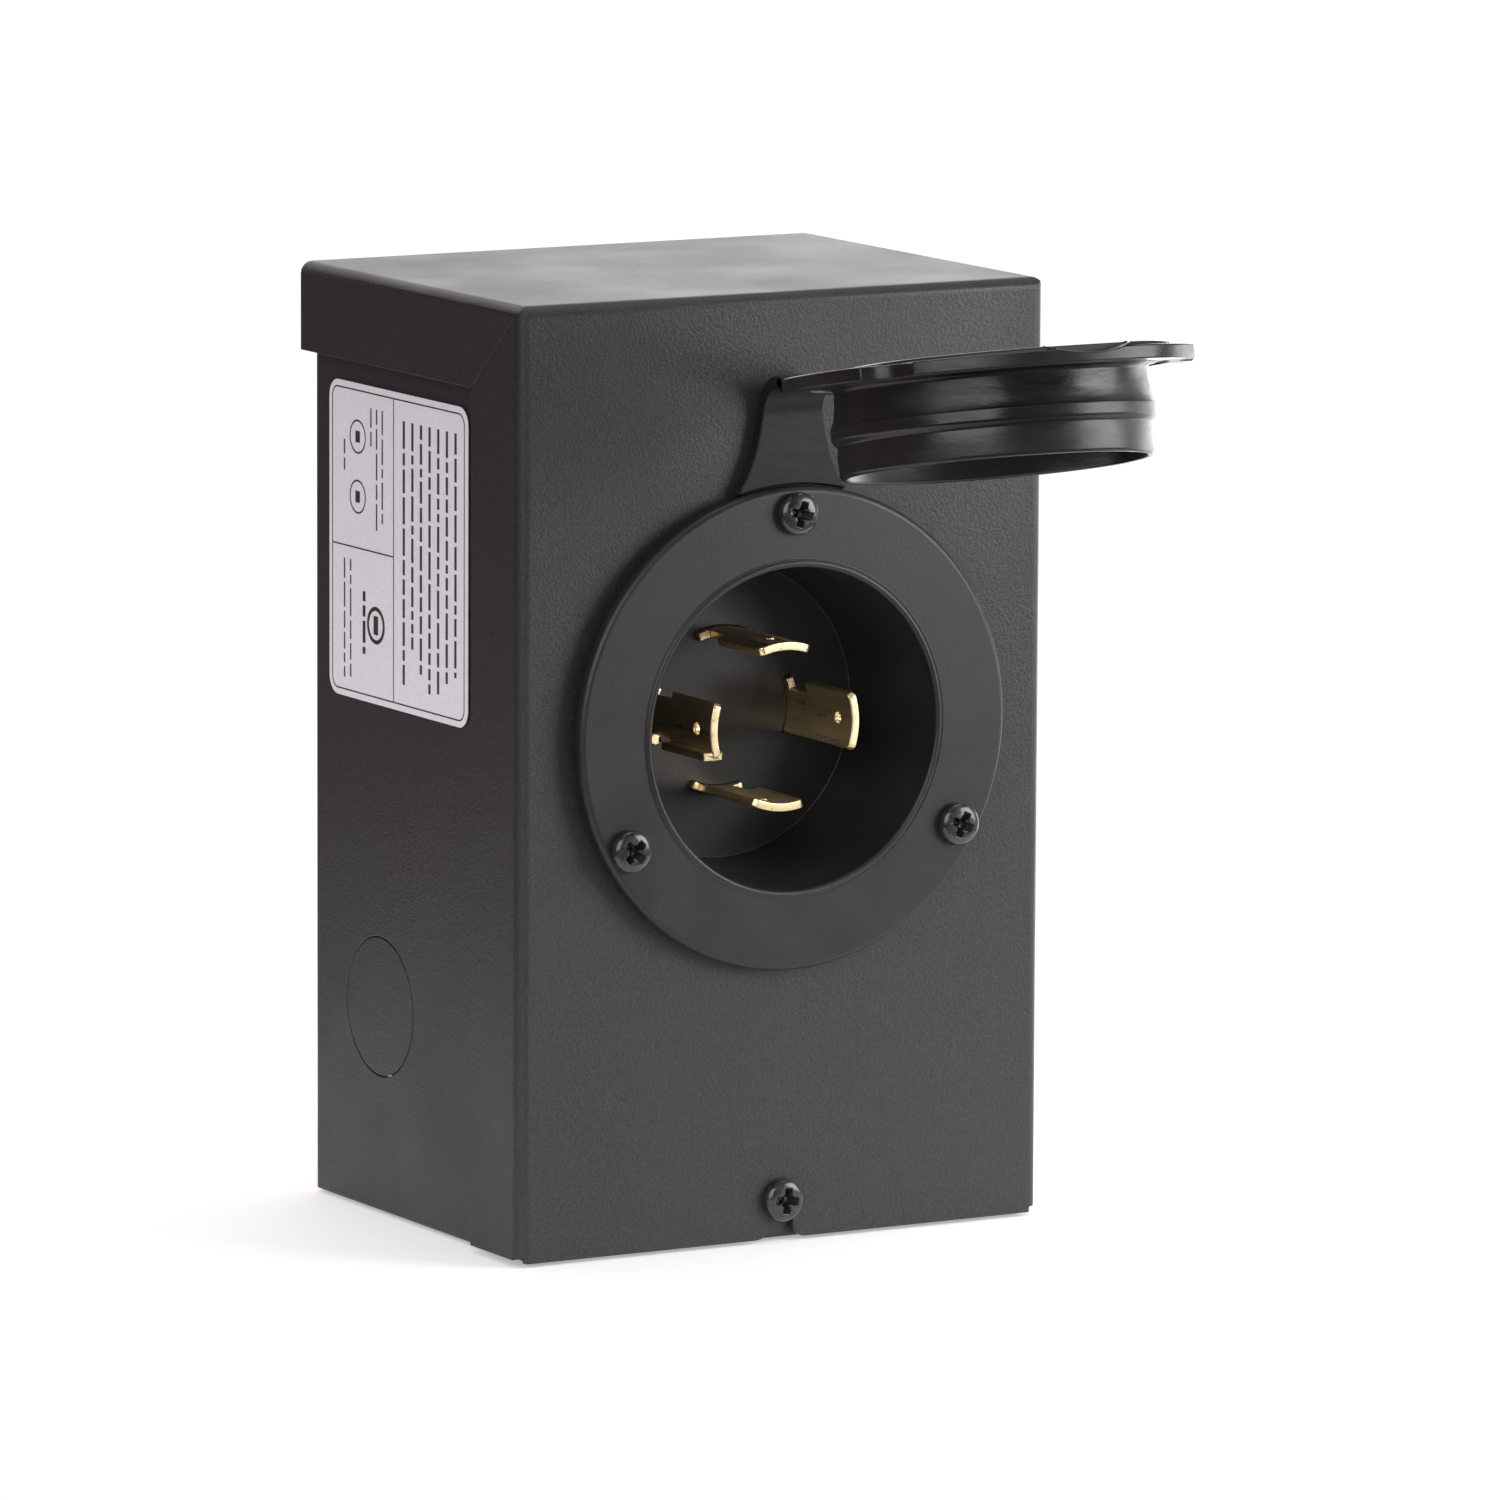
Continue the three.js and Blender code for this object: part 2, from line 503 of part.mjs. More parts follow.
// The ground blade's foot: a short leg that points outward from its anticlockwise end.
function hookSection(grow = 0) {
  const angle = BLADE_W / 2 / BLADE_R;
  const u = BLADE_R * Math.cos(angle);
  const v = BLADE_R * Math.sin(angle);
  return outline([[u - BLADE_T / 2 - grow, v - BLADE_T - grow],
    [u + HOOK_LENGTH + grow, v - BLADE_T - grow],
    [u + HOOK_LENGTH + grow, v + grow], [u - BLADE_T / 2 - grow, v + grow]]);
}

function bladeSlot(hooked) {
  const half = BLADE_W / 2;
  return hooked ? [bladeSection(-half, half, GAP), hookSection(GAP)]
    : [bladeSection(-half, half, GAP)];
}

// Extrudes radial sections along Y and turns them to the blade's place round the inlet axis.
function placeAtBlade(shapes, angle, y0, y1) {
  return joined(...shapes.map((shape) => alongY(shape, y0, y1, 4)))
    .rotate([0, -angle, 0]).translate([0, 0, INLET_Z]);
}

const TERMINAL_HOLE_R = 2.1;

function blade({ angle, hooked }) {
  const half = BLADE_W / 2;
  const neckFrom = -half + BLADE_NECK.from;
  const neckTo = half - BLADE_NECK.to;
  const head = hooked ? [bladeSection(-half, half), hookSection()] : [bladeSection(-half, half)];
  const whole = joined(
    placeAtBlade(head, angle, BLADE_TIP_Y, BLADE_NECK_Y),
    placeAtBlade([bladeSection(neckFrom, neckTo)], angle, BLADE_NECK_Y - 1, BLADE_SHOULDER_Y + 1),
    placeAtBlade(head, angle, BLADE_SHOULDER_Y, FLOOR_Y + 2),
    placeAtBlade([bladeSection(-half, half)], angle, FLOOR_Y + 1, BLADE_END_Y));
  const tipHole = rodX(TIP_HOLE.radius, BLADE_TIP_Y + TIP_HOLE.behindTip, 0,
    BLADE_R - 3, BLADE_R + 3, 12);
  const terminalHole = rodX(TERMINAL_HOLE_R, TERMINAL_Y, 0, BLADE_R - 3, BLADE_R + 3, 12);
  const holes = joined(tipHole, terminalHole).rotate([0, -angle, 0]).translate([0, 0, INLET_Z]);
  return whole.subtract(holes);
}

function terminalBody() {
  const core = turned([[0, TERMINAL_BODY_FRONT], [TERMINAL_BODY_R, TERMINAL_BODY_FRONT],
    [TERMINAL_BODY_R, TERMINAL_BODY_BACK - TERMINAL_BODY_CHAMFER],
    [TERMINAL_BODY_R - TERMINAL_BODY_CHAMFER, TERMINAL_BODY_BACK],
    [0, TERMINAL_BODY_BACK]], ROUND_SEGMENTS / 2).translate([0, 0, INLET_Z]);
  const pockets = BLADES.map(({ angle }) =>
    block(POCKET_R, TERMINAL_BODY_R + 2, POCKET_FRONT, POCKET_BACK, -POCKET_W / 2, POCKET_W / 2)
      .rotate([0, -angle, 0]).translate([0, 0, INLET_Z]));
  const slots = BLADES.map(({ angle, hooked }) =>
    placeAtBlade(bladeSlot(hooked), angle, TERMINAL_BODY_FRONT - 1, POCKET_FRONT + 1));
  const screwHoles = BODY_SCREW_ANGLES.map((angle) => {
    const { x, z } = aroundInlet(BODY_SCREW_R, angle);
    return rodY(SHANK_R + GAP, x, z, TERMINAL_BODY_FRONT - 1, TERMINAL_BODY_BACK + 1, 12);
  });
  return without(core, ...pockets, ...slots, ...screwHoles);
}

const CLAMP = { inner: BLADE_R + 3, thickness: 1.6, half: 5, lip: 0.9, lipT: 1.2 };
const TERMINAL_SCREW = { headR: 3.6, headH: 2, shankR: 1.75 };

// A wire terminal: a saddle outside the blade's tail and the screw that pulls it down.
function terminalNodes({ name, angle, hooked }) {
  const place = (solid) => solid.rotate([0, -angle, 0]).translate([0, 0, INLET_Z]);
  const { inner, thickness, half, lip, lipT } = CLAMP;
  const saddle = (from, z0, z1) =>
    block(from, inner + thickness, TERMINAL_Y - half, TERMINAL_Y + half, z0, z1);
  const clamp = without(
    joined(saddle(inner, -half, half), saddle(inner - lip, half - lipT, half),
      saddle(inner - lip, -half, lipT - half)),
    rodX(SHANK_R + GAP, TERMINAL_Y, 0, inner - 2, inner + thickness + 1, 12));
  const seat = inner + thickness + GAP;
  const screw = panScrew({ shankLength: seat - BLADE_R + 2, ...TERMINAL_SCREW })
    .rotate([0, 0, 90]).translate([seat, TERMINAL_Y, 0]);
  const role = name.replace('_blade', '');
  const finishes = { ground: 'green', neutral: 'zinc' };
  return [node(`terminal_clamp_${role}`, place(clamp), 'zinc'),
    node(`terminal_screw_${role}`, place(screw), hooked ? 'green' : finishes[role] ?? 'brass')];
}

const BODY_SCREW_END_Y = FLOOR_Y + 1.9;

function bodyScrews() {
  return BODY_SCREW_ANGLES.map((angle, i) => {
    const { x, z } = aroundInlet(BODY_SCREW_R, angle);
    const shankLength = TERMINAL_BODY_BACK + GAP - BODY_SCREW_END_Y;
    const screw = panScrew({ shankLength, shankR: SHANK_R - GAP, ...LUG_SCREW_HEAD })
      .rotate([0, 0, 180]).translate([x, TERMINAL_BODY_BACK + GAP, z]);
    return node(`inlet_body_screw_${i + 1}`, screw, 'zinc');
  });
}

// ---------------------------------------------------------------- rubber strap and flip cap
// Ring under the inlet flange, with the strap that rises from it and turns out to the hinge.
function gasketStrap() {
  const inner = CUP_R + CUP_CLEARANCE;
  const outer = FLANGE_R - GASKET_INSET;
  const ring = turned([[inner, GASKET_BACK], [inner, GASKET_FRONT], [outer, GASKET_FRONT],
    [outer, GASKET_BACK], [inner, GASKET_BACK]]).translate([0, 0, INLET_Z]);
  const screwHoles = Object.values(FLANGE_SCREW_ANGLES).map((angle) => {
    const { x, z } = aroundInlet(SCREW_PITCH_R, angle);
    return rodY(SCREW_HOLE_R, x, z, GASKET_FRONT - 1, 0);
  });
  const footZ = INLET_Z + FLANGE_R;
  const foot = new THREE.Shape();
  const { overlap, flareFrom, flareTo } = STRAP_FOOT;
  foot.moveTo(-STRAP_FOOT_HALF, footZ - overlap);
  foot.lineTo(STRAP_FOOT_HALF, footZ - overlap);
  foot.lineTo(STRAP_FOOT_HALF, footZ - flareFrom);
  foot.quadraticCurveTo(STRAP_HALF, footZ, STRAP_HALF, footZ + flareTo);
  foot.lineTo(-STRAP_HALF, footZ + flareTo);
  foot.quadraticCurveTo(-STRAP_HALF, footZ, -STRAP_FOOT_HALF, footZ - flareFrom);
  const behindFlange = alongY(foot, GASKET_FRONT, GASKET_BACK);
  const aboveFlange = alongY(foot, GASKET_BACK - STRAP_T, GASKET_BACK)
    .subtract(rodY(FLANGE_R + GAP, 0, INLET_Z, -10, FLANGE_BACK + GAP, ROUND_SEGMENTS));
  const rise = strapRise(footZ + flareTo - 1);
  return without(joined(ring, behindFlange, aboveFlange, rise), ...screwHoles);
}

// The strap's side view: straight up the cover, then round and out to the hinge line.
function strapRise(fromZ) {
  const back = GASKET_BACK;
  const front = back - STRAP_T;
  const tilt = THREE.MathUtils.degToRad(CAP_OPEN_DEG - 90);
  const underR = STRAP_BEND_R;
  const overR = underR + STRAP_T;
  const bendY = front - underR;
  const bendZ = HINGE_Z - STRAP_KNUCKLE_DROP - underR;
  const shape = new THREE.Shape();
  shape.moveTo(back, fromZ);
  shape.lineTo(back, bendZ);
  shape.absarc(bendY, bendZ, overR, 0, Math.PI / 2 - tilt);
  shape.lineTo(HINGE_Y, bendZ + overR);
  shape.lineTo(HINGE_Y, bendZ + underR);
  shape.absarc(bendY, bendZ, underR, Math.PI / 2 - tilt, 0, true);
  shape.lineTo(front, fromZ);
  const clear = joined(
    rodX(HINGE_KNUCKLE_R + GAP, HINGE_Y, HINGE_Z, -WIDTH, WIDTH, 32),
    block(-WIDTH, WIDTH, HINGE_Y - 10, HINGE_Y + HINGE_KNUCKLE_R + GAP, 0, HEIGHT));
  return alongX(shape, -STRAP_HALF, STRAP_HALF, 6).subtract(clear);
}

// Plate and skirt of the shut cap, seated against the flange at y = seat.
function capBody(seat, centreZ) {
  const front = seat - CAP_PLATE;
  const end = seat + SKIRT_LENGTH;
  const inner = SKIRT_R - SKIRT_WALL;
  return turned([[0, front], ...arc(CAP_R - CAP_ROUND, front + CAP_ROUND, CAP_ROUND, -90, 0, 2),
    [CAP_R, seat], [SKIRT_R - SKIRT_LIP.inset, seat], [SKIRT_R, seat + SKIRT_BEAD.rise],
    [SKIRT_BEAD.radius, seat + SKIRT_BEAD.from], [SKIRT_BEAD.radius, seat + SKIRT_BEAD.to],
    [SKIRT_R, seat + SKIRT_BEAD.fall], [SKIRT_R - SKIRT_TAPER.start, seat + SKIRT_TAPER.from],
    [SKIRT_R - SKIRT_TAPER.end, end], [inner + SKIRT_LIP.inset, end],
    [inner, end - SKIRT_LIP.back], [inner - SKIRT_LIP.draft, seat], [0, seat],
  ]).translate([0, 0, centreZ]);
}

// The arm that joins the cap's edge to the hinge, with its round knuckle on the hinge line.
function capArm() {
  const { front, back, length, tipBack, tipLength } = CAP_ARM;
  const side = outline([[front, 0], [back, 0], [back, -length], [tipBack, -tipLength],
    [front, -length]]);
  return joined(alongX(side, -STRAP_HALF, STRAP_HALF),
    rodX(HINGE_KNUCKLE_R, 0, 0, -STRAP_HALF, STRAP_HALF));
}

// Reliefs in the cap for the three screw heads: right through at its edge, shallow at the arm.
function capNotches(front, seat) {
  return Object.entries(FLANGE_SCREW_ANGLES).map(([place, angle]) => {
    const { x, z } = aroundInlet(SCREW_PITCH_R, angle);
    const [radius, from] = place === 'top' ? [CAP_NOTCH.topRadius, CAP_NOTCH.topDepth]
      : [CAP_NOTCH.radius, front - 2];
    return rodY(radius, x, z - HINGE_Z, from, seat + 2, 2 * SMALL_SEGMENTS);
  });
}

// The cap is built shut, about the hinge line: y = 0 and z = 0 are the hinge.
function flipCap() {
  const seat = FLANGE_FRONT - CAP_SEAT_GAP - HINGE_Y;
  const front = seat - CAP_PLATE;
  const centreZ = INLET_Z - HINGE_Z;
  const crownFront = front - CAP_CROWN_T;
  const crown = rodY(CAP_CROWN_R, 0, centreZ - CAP_CROWN_DROP, crownFront, front + 0.5,
    ROUND_SEGMENTS);
  const tipZ = centreZ - CAP_R;
  const scoop = rodZ(CAP_SCOOP.radius, 0, crownFront + CAP_SCOOP.depth - CAP_SCOOP.radius,
    tipZ - 2, tipZ + CAP_SCOOP.height, 48);
  return without(joined(capBody(seat, centreZ), crown, capArm()), ...capNotches(front, seat), scoop);
}

// ---------------------------------------------------------------- assembly
// The box is drawn from its front face and its bottom, and set with its wall face at y = 0.
const box = new THREE.Group();
box.position.set(0, -DEPTH, -HEIGHT / 2);
box.add(
  node('back_box', backBox(), 'powder'),
  ...knockoutNodes(),
  node('rating_label', ratingLabel(), 'label'),
  ...groundParts(),
  ...coverFasteners(),
  node('front_cover', frontCover(), 'powder'),
  node('gasket_strap', gasketStrap(), 'rubber'),
  node('inlet_housing', inletHousing(), 'moulded'),
  ...BLADES.map((spec) => node(spec.name, blade(spec), 'brass')),
  node('terminal_body', terminalBody(), 'moulded'),
  ...BLADES.flatMap(terminalNodes),
  ...bodyScrews(),
  ...flangeFasteners(),
);

const cap = new THREE.Group();
cap.position.set(0, HINGE_Y, HINGE_Z);
cap.rotation.x = -THREE.MathUtils.degToRad(CAP_OPEN_DEG);
cap.add(node('flip_cap', flipCap(), 'rubber'));
box.add(cap);

const inletBox = new THREE.Group();
inletBox.add(box);
export default inletBox;
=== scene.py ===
"""Generator inlet box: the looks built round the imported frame. Metres, +Z up, front facing -Y."""

import json
import math
import random

import bmesh
import bpy
from mathutils import Matrix, Vector


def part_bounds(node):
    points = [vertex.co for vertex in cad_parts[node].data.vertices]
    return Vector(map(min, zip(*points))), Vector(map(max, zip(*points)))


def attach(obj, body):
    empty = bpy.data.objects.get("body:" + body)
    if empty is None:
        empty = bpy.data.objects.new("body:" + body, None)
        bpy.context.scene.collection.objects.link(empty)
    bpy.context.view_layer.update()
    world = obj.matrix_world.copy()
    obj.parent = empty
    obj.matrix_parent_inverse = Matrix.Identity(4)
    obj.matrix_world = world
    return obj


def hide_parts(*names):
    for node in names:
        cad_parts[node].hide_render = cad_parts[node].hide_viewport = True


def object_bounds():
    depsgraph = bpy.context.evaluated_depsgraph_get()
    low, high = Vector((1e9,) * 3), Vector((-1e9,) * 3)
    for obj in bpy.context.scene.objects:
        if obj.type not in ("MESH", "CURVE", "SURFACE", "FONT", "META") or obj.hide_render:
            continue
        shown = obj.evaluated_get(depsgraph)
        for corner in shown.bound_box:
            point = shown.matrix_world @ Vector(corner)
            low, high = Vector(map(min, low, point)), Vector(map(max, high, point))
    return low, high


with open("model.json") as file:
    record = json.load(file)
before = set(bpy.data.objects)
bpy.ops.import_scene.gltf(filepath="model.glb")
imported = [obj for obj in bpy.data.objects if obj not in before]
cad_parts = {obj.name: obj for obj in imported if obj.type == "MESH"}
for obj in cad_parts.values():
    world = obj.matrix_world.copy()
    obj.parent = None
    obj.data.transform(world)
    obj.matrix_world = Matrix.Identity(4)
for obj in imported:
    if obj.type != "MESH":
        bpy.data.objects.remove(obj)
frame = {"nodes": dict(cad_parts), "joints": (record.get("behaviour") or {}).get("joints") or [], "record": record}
CAD_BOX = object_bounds()
SCENE = bpy.context.scene

# ---------------------------------------------------------------- the frame in millimetres
# Shapes are drawn in millimetres in the case's front frame: y runs in from the cover's front
# face, z runs up from the bottom of the case, and x = 0 is the middle.
MM = 0.001
ORIGIN = Vector((0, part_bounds("front_cover")[0].y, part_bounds("back_box")[0].z))
TO_ROW = Matrix.Translation(ORIGIN) @ Matrix.Scale(MM, 4)


def part_box(node):
    """Lowest and highest corner of a CAD node, in millimetres in the front frame."""
    return [(corner - ORIGIN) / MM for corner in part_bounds(node)]


def middle(node):
    low, high = part_box(node)
    return (low + high) / 2


COVER_LOW, COVER_HIGH = part_box("front_cover")
CASE_LOW, CASE_HIGH = part_box("back_box")
FLANGE_LOW, FLANGE_HIGH = part_box("inlet_housing")
HALF = COVER_HIGH.x
HEIGHT = COVER_HIGH.z
DEPTH = COVER_HIGH.y
CASE_HALF = CASE_HIGH.x
INLET_Z = middle("inlet_housing").z
FLANGE_R = FLANGE_HIGH.x
FLANGE_FRONT = FLANGE_LOW.y
CUP_BACK = FLANGE_HIGH.y
HINGE = next(j for j in frame["joints"] if j["name"] == "cap_hinge")
HINGE_PLACE = (Vector(HINGE["pos_m"]) - ORIGIN) / MM
CAP_OPEN = -math.radians(HINGE["range_deg"][0])

SHEET = 1.4                  # thickness of the steel
BEND = 2.4                   # outside radius of its folds
COVER_FLANGE = 19.1          # how far back the cover's side flanges reach
HOOD_LIP = 17.0              # how far down the hood's side lips reach
MITRE_SLIT = 0.14            # width of the seam between a flange and a lip
CASE_FLANGE_Z = 16.0         # top of the case's low front flange
CASE_BOTTOM_BEND = 0.8       # the case's bottom folds are tighter
CASE_TOP_FLANGE = 14.0       # depth of the case's top flange
CUP_GAP = 1.2                # between the inlet's cup and the hole in the cover
FLANGE_HOLE_R = 2.4          # holes for the flange screws

FLANGE_BACK = -1.8
MOUTH_R = 30.6               # the recess at its mouth
FLOOR_R = 28.4               # the recess at its floor
FLOOR_Y = 24.3
CUP_R = 33.0                 # outside of the cup behind the flange
SCREW_PITCH_R = 40.85        # circle of the flange screws
SCREW_ANGLES = {"top": 90, "left": 210, "right": 330}

BLADE_R = 15.3               # the blades stand on a circle of this radius
BLADE_T = 1.6
BLADE_W = 11.0               # along the circle
# The photo shows the lowest blade a little round from the even spacing of the others.
BLADES = {"hot_blade_x": 90, "neutral_blade": 0, "hot_blade_y": 265, "ground_blade": 180}

FINE = 144                   # segments round a large turned shape
MEDIUM = 64
SMALL = 40
FOLD = 10                    # segments in a quarter round
PAST = 1.0                   # how far a cutting tool runs past the face it cuts
ON_AXIS = 1e-6


# ---------------------------------------------------------------- mesh kit
def mesh_object(name, points, faces):
    mesh = bpy.data.meshes.new(name)
    mesh.from_pydata([tuple(p) for p in points], [], faces)
    obj = bpy.data.objects.new(name, mesh)
    SCENE.collection.objects.link(obj)
    face_out(obj)
    return obj


def face_out(obj):
    work = bmesh.new()
    work.from_mesh(obj.data)
    bmesh.ops.recalc_face_normals(work, faces=work.faces)
    work.to_mesh(obj.data)
    work.free()


def bake(obj):
    """Makes obj's modifiers part of its mesh."""
    bpy.context.view_layer.update()
    evaluated = obj.evaluated_get(bpy.context.evaluated_depsgraph_get())
    mesh = bpy.data.meshes.new_from_object(evaluated)
    obj.modifiers.clear()
    obj.data = mesh


def combine(obj, tools, operation):
    for tool in tools:
        step = obj.modifiers.new("solid", "BOOLEAN")
        step.operation = operation
        step.solver = "MANIFOLD"
        step.object = tool
    bake(obj)
    for tool in tools:
        bpy.data.objects.remove(tool)
    return obj


def cut(obj, *tools):
    return combine(obj, tools, "DIFFERENCE")


def add(obj, *tools):
    return combine(obj, tools, "UNION")


def keep(obj, *tools):
    return combine(obj, tools, "INTERSECT")


def turned(profile, segments=FINE, name="turned"):
    """A solid turned about +Y from [radius, y] points, which start and end on the axis or close."""
    points, rings = [], []
    for radius, y in profile:
        first = len(points)
        if radius < ON_AXIS:
            points.append((0, y, 0))
            rings.append([first] * segments)
            continue
        for k in range(segments):
            angle = 2 * math.pi * k / segments
            points.append((radius * math.cos(angle), y, radius * math.sin(angle)))
        rings.append([first + k for k in range(segments)])
    faces = []
    for a, b in zip(rings, rings[1:] + rings[:1]):
        for k in range(segments):
            n = (k + 1) % segments
            face = list(dict.fromkeys((a[k], a[n], b[n], b[k])))
            if len(face) > 2:
                faces.append(face)
    return mesh_object(name, points, faces)


AXES = {"x": lambda u, v, w: (w, u, v), "y": lambda u, v, w: (u, w, v),
        "z": lambda u, v, w: (u, v, w)}


def prism(outline, axis, start, end, name="prism"):
    """An outline of (u, v) points drawn out along an axis; u and v are the other two, in order."""
    place = AXES[axis]
    count = len(outline)
    points = [place(u, v, w) for w in (start, end) for u, v in outline]
    faces = [list(range(count)), list(range(2 * count - 1, count - 1, -1))]
    faces += [[k, (k + 1) % count, count + (k + 1) % count, count + k] for k in range(count)]
    return mesh_object(name, points, faces)


def block(x0, x1, y0, y1, z0, z1):
    return prism([(x0, y0), (x1, y0), (x1, y1), (x0, y1)], "z", z0, z1, "block")


def arc(u, v, radius, start, end, steps=FOLD):
    """Points on a round about (u, v), between two angles in degrees."""
    angles = [math.radians(start + (end - start) * k / steps) for k in range(steps + 1)]
    return [(u + radius * math.cos(a), v + radius * math.sin(a)) for a in angles]


def circle(u, v, radius, steps=MEDIUM):
    return arc(u, v, radius, 0, 360, steps)[:-1]


def rod(radius, u, v, axis, start, end, steps=MEDIUM):
    return prism(circle(u, v, radius, steps), axis, start, end, "rod")


def rounded_rect(u0, u1, v0, v1, radii):
    """Corners in the order low-low, high-low, high-high, low-high."""
    a, b, c, d = radii
    points = []
    for u, v, radius, start in ((u0 + a, v0 + a, a, 180), (u1 - b, v0 + b, b, 270),
                                (u1 - c, v1 - c, c, 0), (u0 + d, v1 - d, d, 90)):
        points += arc(u, v, radius, start, start + 90) if radius else [(u, v)]
    return points


def around(radius, degrees):
    angle = math.radians(degrees)
    return radius * math.cos(angle), INLET_Z + radius * math.sin(angle)


def finish_piece(obj, name, body, look, nodes=(), edge=0.25, place=TO_ROW, smooth=True):
    """Sets a piece drawn in millimetres in its place, rounds its edges and makes it ride."""
    obj.name = name
    obj.data.name = name
    obj.data.transform(place)
    obj.data.update()
    if edge:
        round_edges(obj, edge * MM)
    if smooth:
        obj.data.shade_smooth()
        soften(obj)
    bake(obj)
    obj.data.materials.clear()
    obj.data.materials.append(look)
    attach(obj, body)
    if nodes:
        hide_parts(*nodes)


def round_edges(obj, width, segments=3, limit=32):
    step = obj.modifiers.new("edges", "BEVEL")
    step.width = width
    step.segments = segments
    step.limit_method = "ANGLE"
    step.angle_limit = math.radians(limit)
    step.use_clamp_overlap = False
    step.miter_outer = "MITER_ARC"


def soften(obj):
    step = obj.modifiers.new("normals", "WEIGHTED_NORMAL")
    step.mode = "FACE_AREA"
    step.weight = 60
    step.keep_sharp = False


# ---------------------------------------------------------------- camera and studio
VIEW_AZIMUTH = math.radians(-29.24)
VIEW_ELEVATION = math.radians(8.66)
VIEW_DISTANCE = 2.218
VIEW_ROLL = math.radians(0.28)
VIEW_PIVOT = Vector((0, -0.048, 0))
VIEW_AIM = Vector((0.01543, -0.048, -0.00301))
LENS = 279
SENSOR = 36
NEAR_CLIP = 0.05


def make_camera():
    data = bpy.data.cameras.new("camera")
    data.lens = LENS
    data.sensor_width = SENSOR
    data.clip_start = NEAR_CLIP
    camera = bpy.data.objects.new("camera", data)
    SCENE.collection.objects.link(camera)
    towards = Vector((math.sin(VIEW_AZIMUTH) * math.cos(VIEW_ELEVATION),
                      -math.cos(VIEW_AZIMUTH) * math.cos(VIEW_ELEVATION),
                      math.sin(VIEW_ELEVATION)))
    place = VIEW_PIVOT + VIEW_DISTANCE * towards
    turn = (VIEW_AIM - place).to_track_quat("-Z", "Y").to_matrix().to_4x4()
    camera.matrix_world = Matrix.Translation(place) @ turn @ Matrix.Rotation(VIEW_ROLL, 4, "Z")
    SCENE.camera = camera


def soft_light(name, place, aim, size, power):
    data = bpy.data.lights.new(name, "AREA")
    data.shape = "RECTANGLE"
    data.size, data.size_y = size
    data.energy = power
    light = bpy.data.objects.new(name, data)
    light.location = place
    light.rotation_euler = (Vector(aim) - Vector(place)).to_track_quat("-Z", "Y").to_euler()
    light.visible_camera = False
    SCENE.collection.objects.link(light)


BACKDROP = 1.05                      # strength of the white that the camera sees
ROOM_DIM = (0.17, 0.115, 0.13, 1)    # what the object mirrors on the left and behind
ROOM_BRIGHT = (0.365, 0.365, 0.375, 1)
ROOM_SPAN = (0.3, 0.9)               # where the dim end stops and the bright end starts
BRIGHT_SIDE = (0.85, -0.35, 0.1)


def make_world():
    world = bpy.data.worlds.new("studio")
    world.use_nodes = True
    SCENE.world = world
    tree = world.node_tree
    tree.nodes.clear()
    output = tree.nodes.new("ShaderNodeOutputWorld")
    room = tree.nodes.new("ShaderNodeBackground")
    backdrop = tree.nodes.new("ShaderNodeBackground")
    backdrop.inputs["Color"].default_value = (1, 1, 1, 1)
    backdrop.inputs["Strength"].default_value = BACKDROP
    seen = tree.nodes.new("ShaderNodeLightPath")
    mix = tree.nodes.new("ShaderNodeMixShader")
    direction = tree.nodes.new("ShaderNodeTexCoord")
    # Brighter to the right and in front, dimmer to the left and behind.
    side = tree.nodes.new("ShaderNodeVectorMath")
    side.operation = "DOT_PRODUCT"
    side.inputs[1].default_value = BRIGHT_SIDE
    ramp = tree.nodes.new("ShaderNodeValToRGB")
    dim, bright = ramp.color_ramp.elements
    dim.position, bright.position = ROOM_SPAN
    dim.color, bright.color = ROOM_DIM, ROOM_BRIGHT
    # From -1..1 to 0..1.
    shift = tree.nodes.new("ShaderNodeMath")
    shift.operation = "MULTIPLY_ADD"
    shift.inputs[1].default_value = 0.5
    shift.inputs[2].default_value = 0.5
    tree.links.new(direction.outputs["Generated"], side.inputs[0])
    tree.links.new(side.outputs["Value"], shift.inputs[0])
    tree.links.new(shift.outputs[0], ramp.inputs["Fac"])
    tree.links.new(ramp.outputs["Color"], room.inputs["Color"])
    tree.links.new(seen.outputs["Is Camera Ray"], mix.inputs["Fac"])
    tree.links.new(room.outputs[0], mix.inputs[1])
    tree.links.new(backdrop.outputs[0], mix.inputs[2])
    tree.links.new(mix.outputs[0], output.inputs["Surface"])


FLOOR_DROP = 0.0006
FLOOR_REACH = 0.22
FLOOR_SHADE = 0.9
FLOOR_GLOW = 0.36


def make_floor():
    level = CAD_BOX[0].z - FLOOR_DROP
    reach = FLOOR_REACH
    floor = mesh_object("floor", [(-reach, -reach, level), (reach, -reach, level),
                                  (reach, reach, level), (-reach, reach, level)], [[0, 1, 2, 3]])
    pale = bpy.data.materials.new("pale_floor")
    pale.use_nodes = True
    shader = pale.node_tree.nodes["Principled BSDF"]
    shader.inputs["Base Color"].default_value = (FLOOR_SHADE, FLOOR_SHADE, FLOOR_SHADE, 1)
    shader.inputs["Roughness"].default_value = 0.9
    shader.inputs["Specular IOR Level"].default_value = 0.0
    shader.inputs["Emission Color"].default_value = (1, 1, 1, 1)
    shader.inputs["Emission Strength"].default_value = FLOOR_GLOW
    floor.data.materials.append(pale)


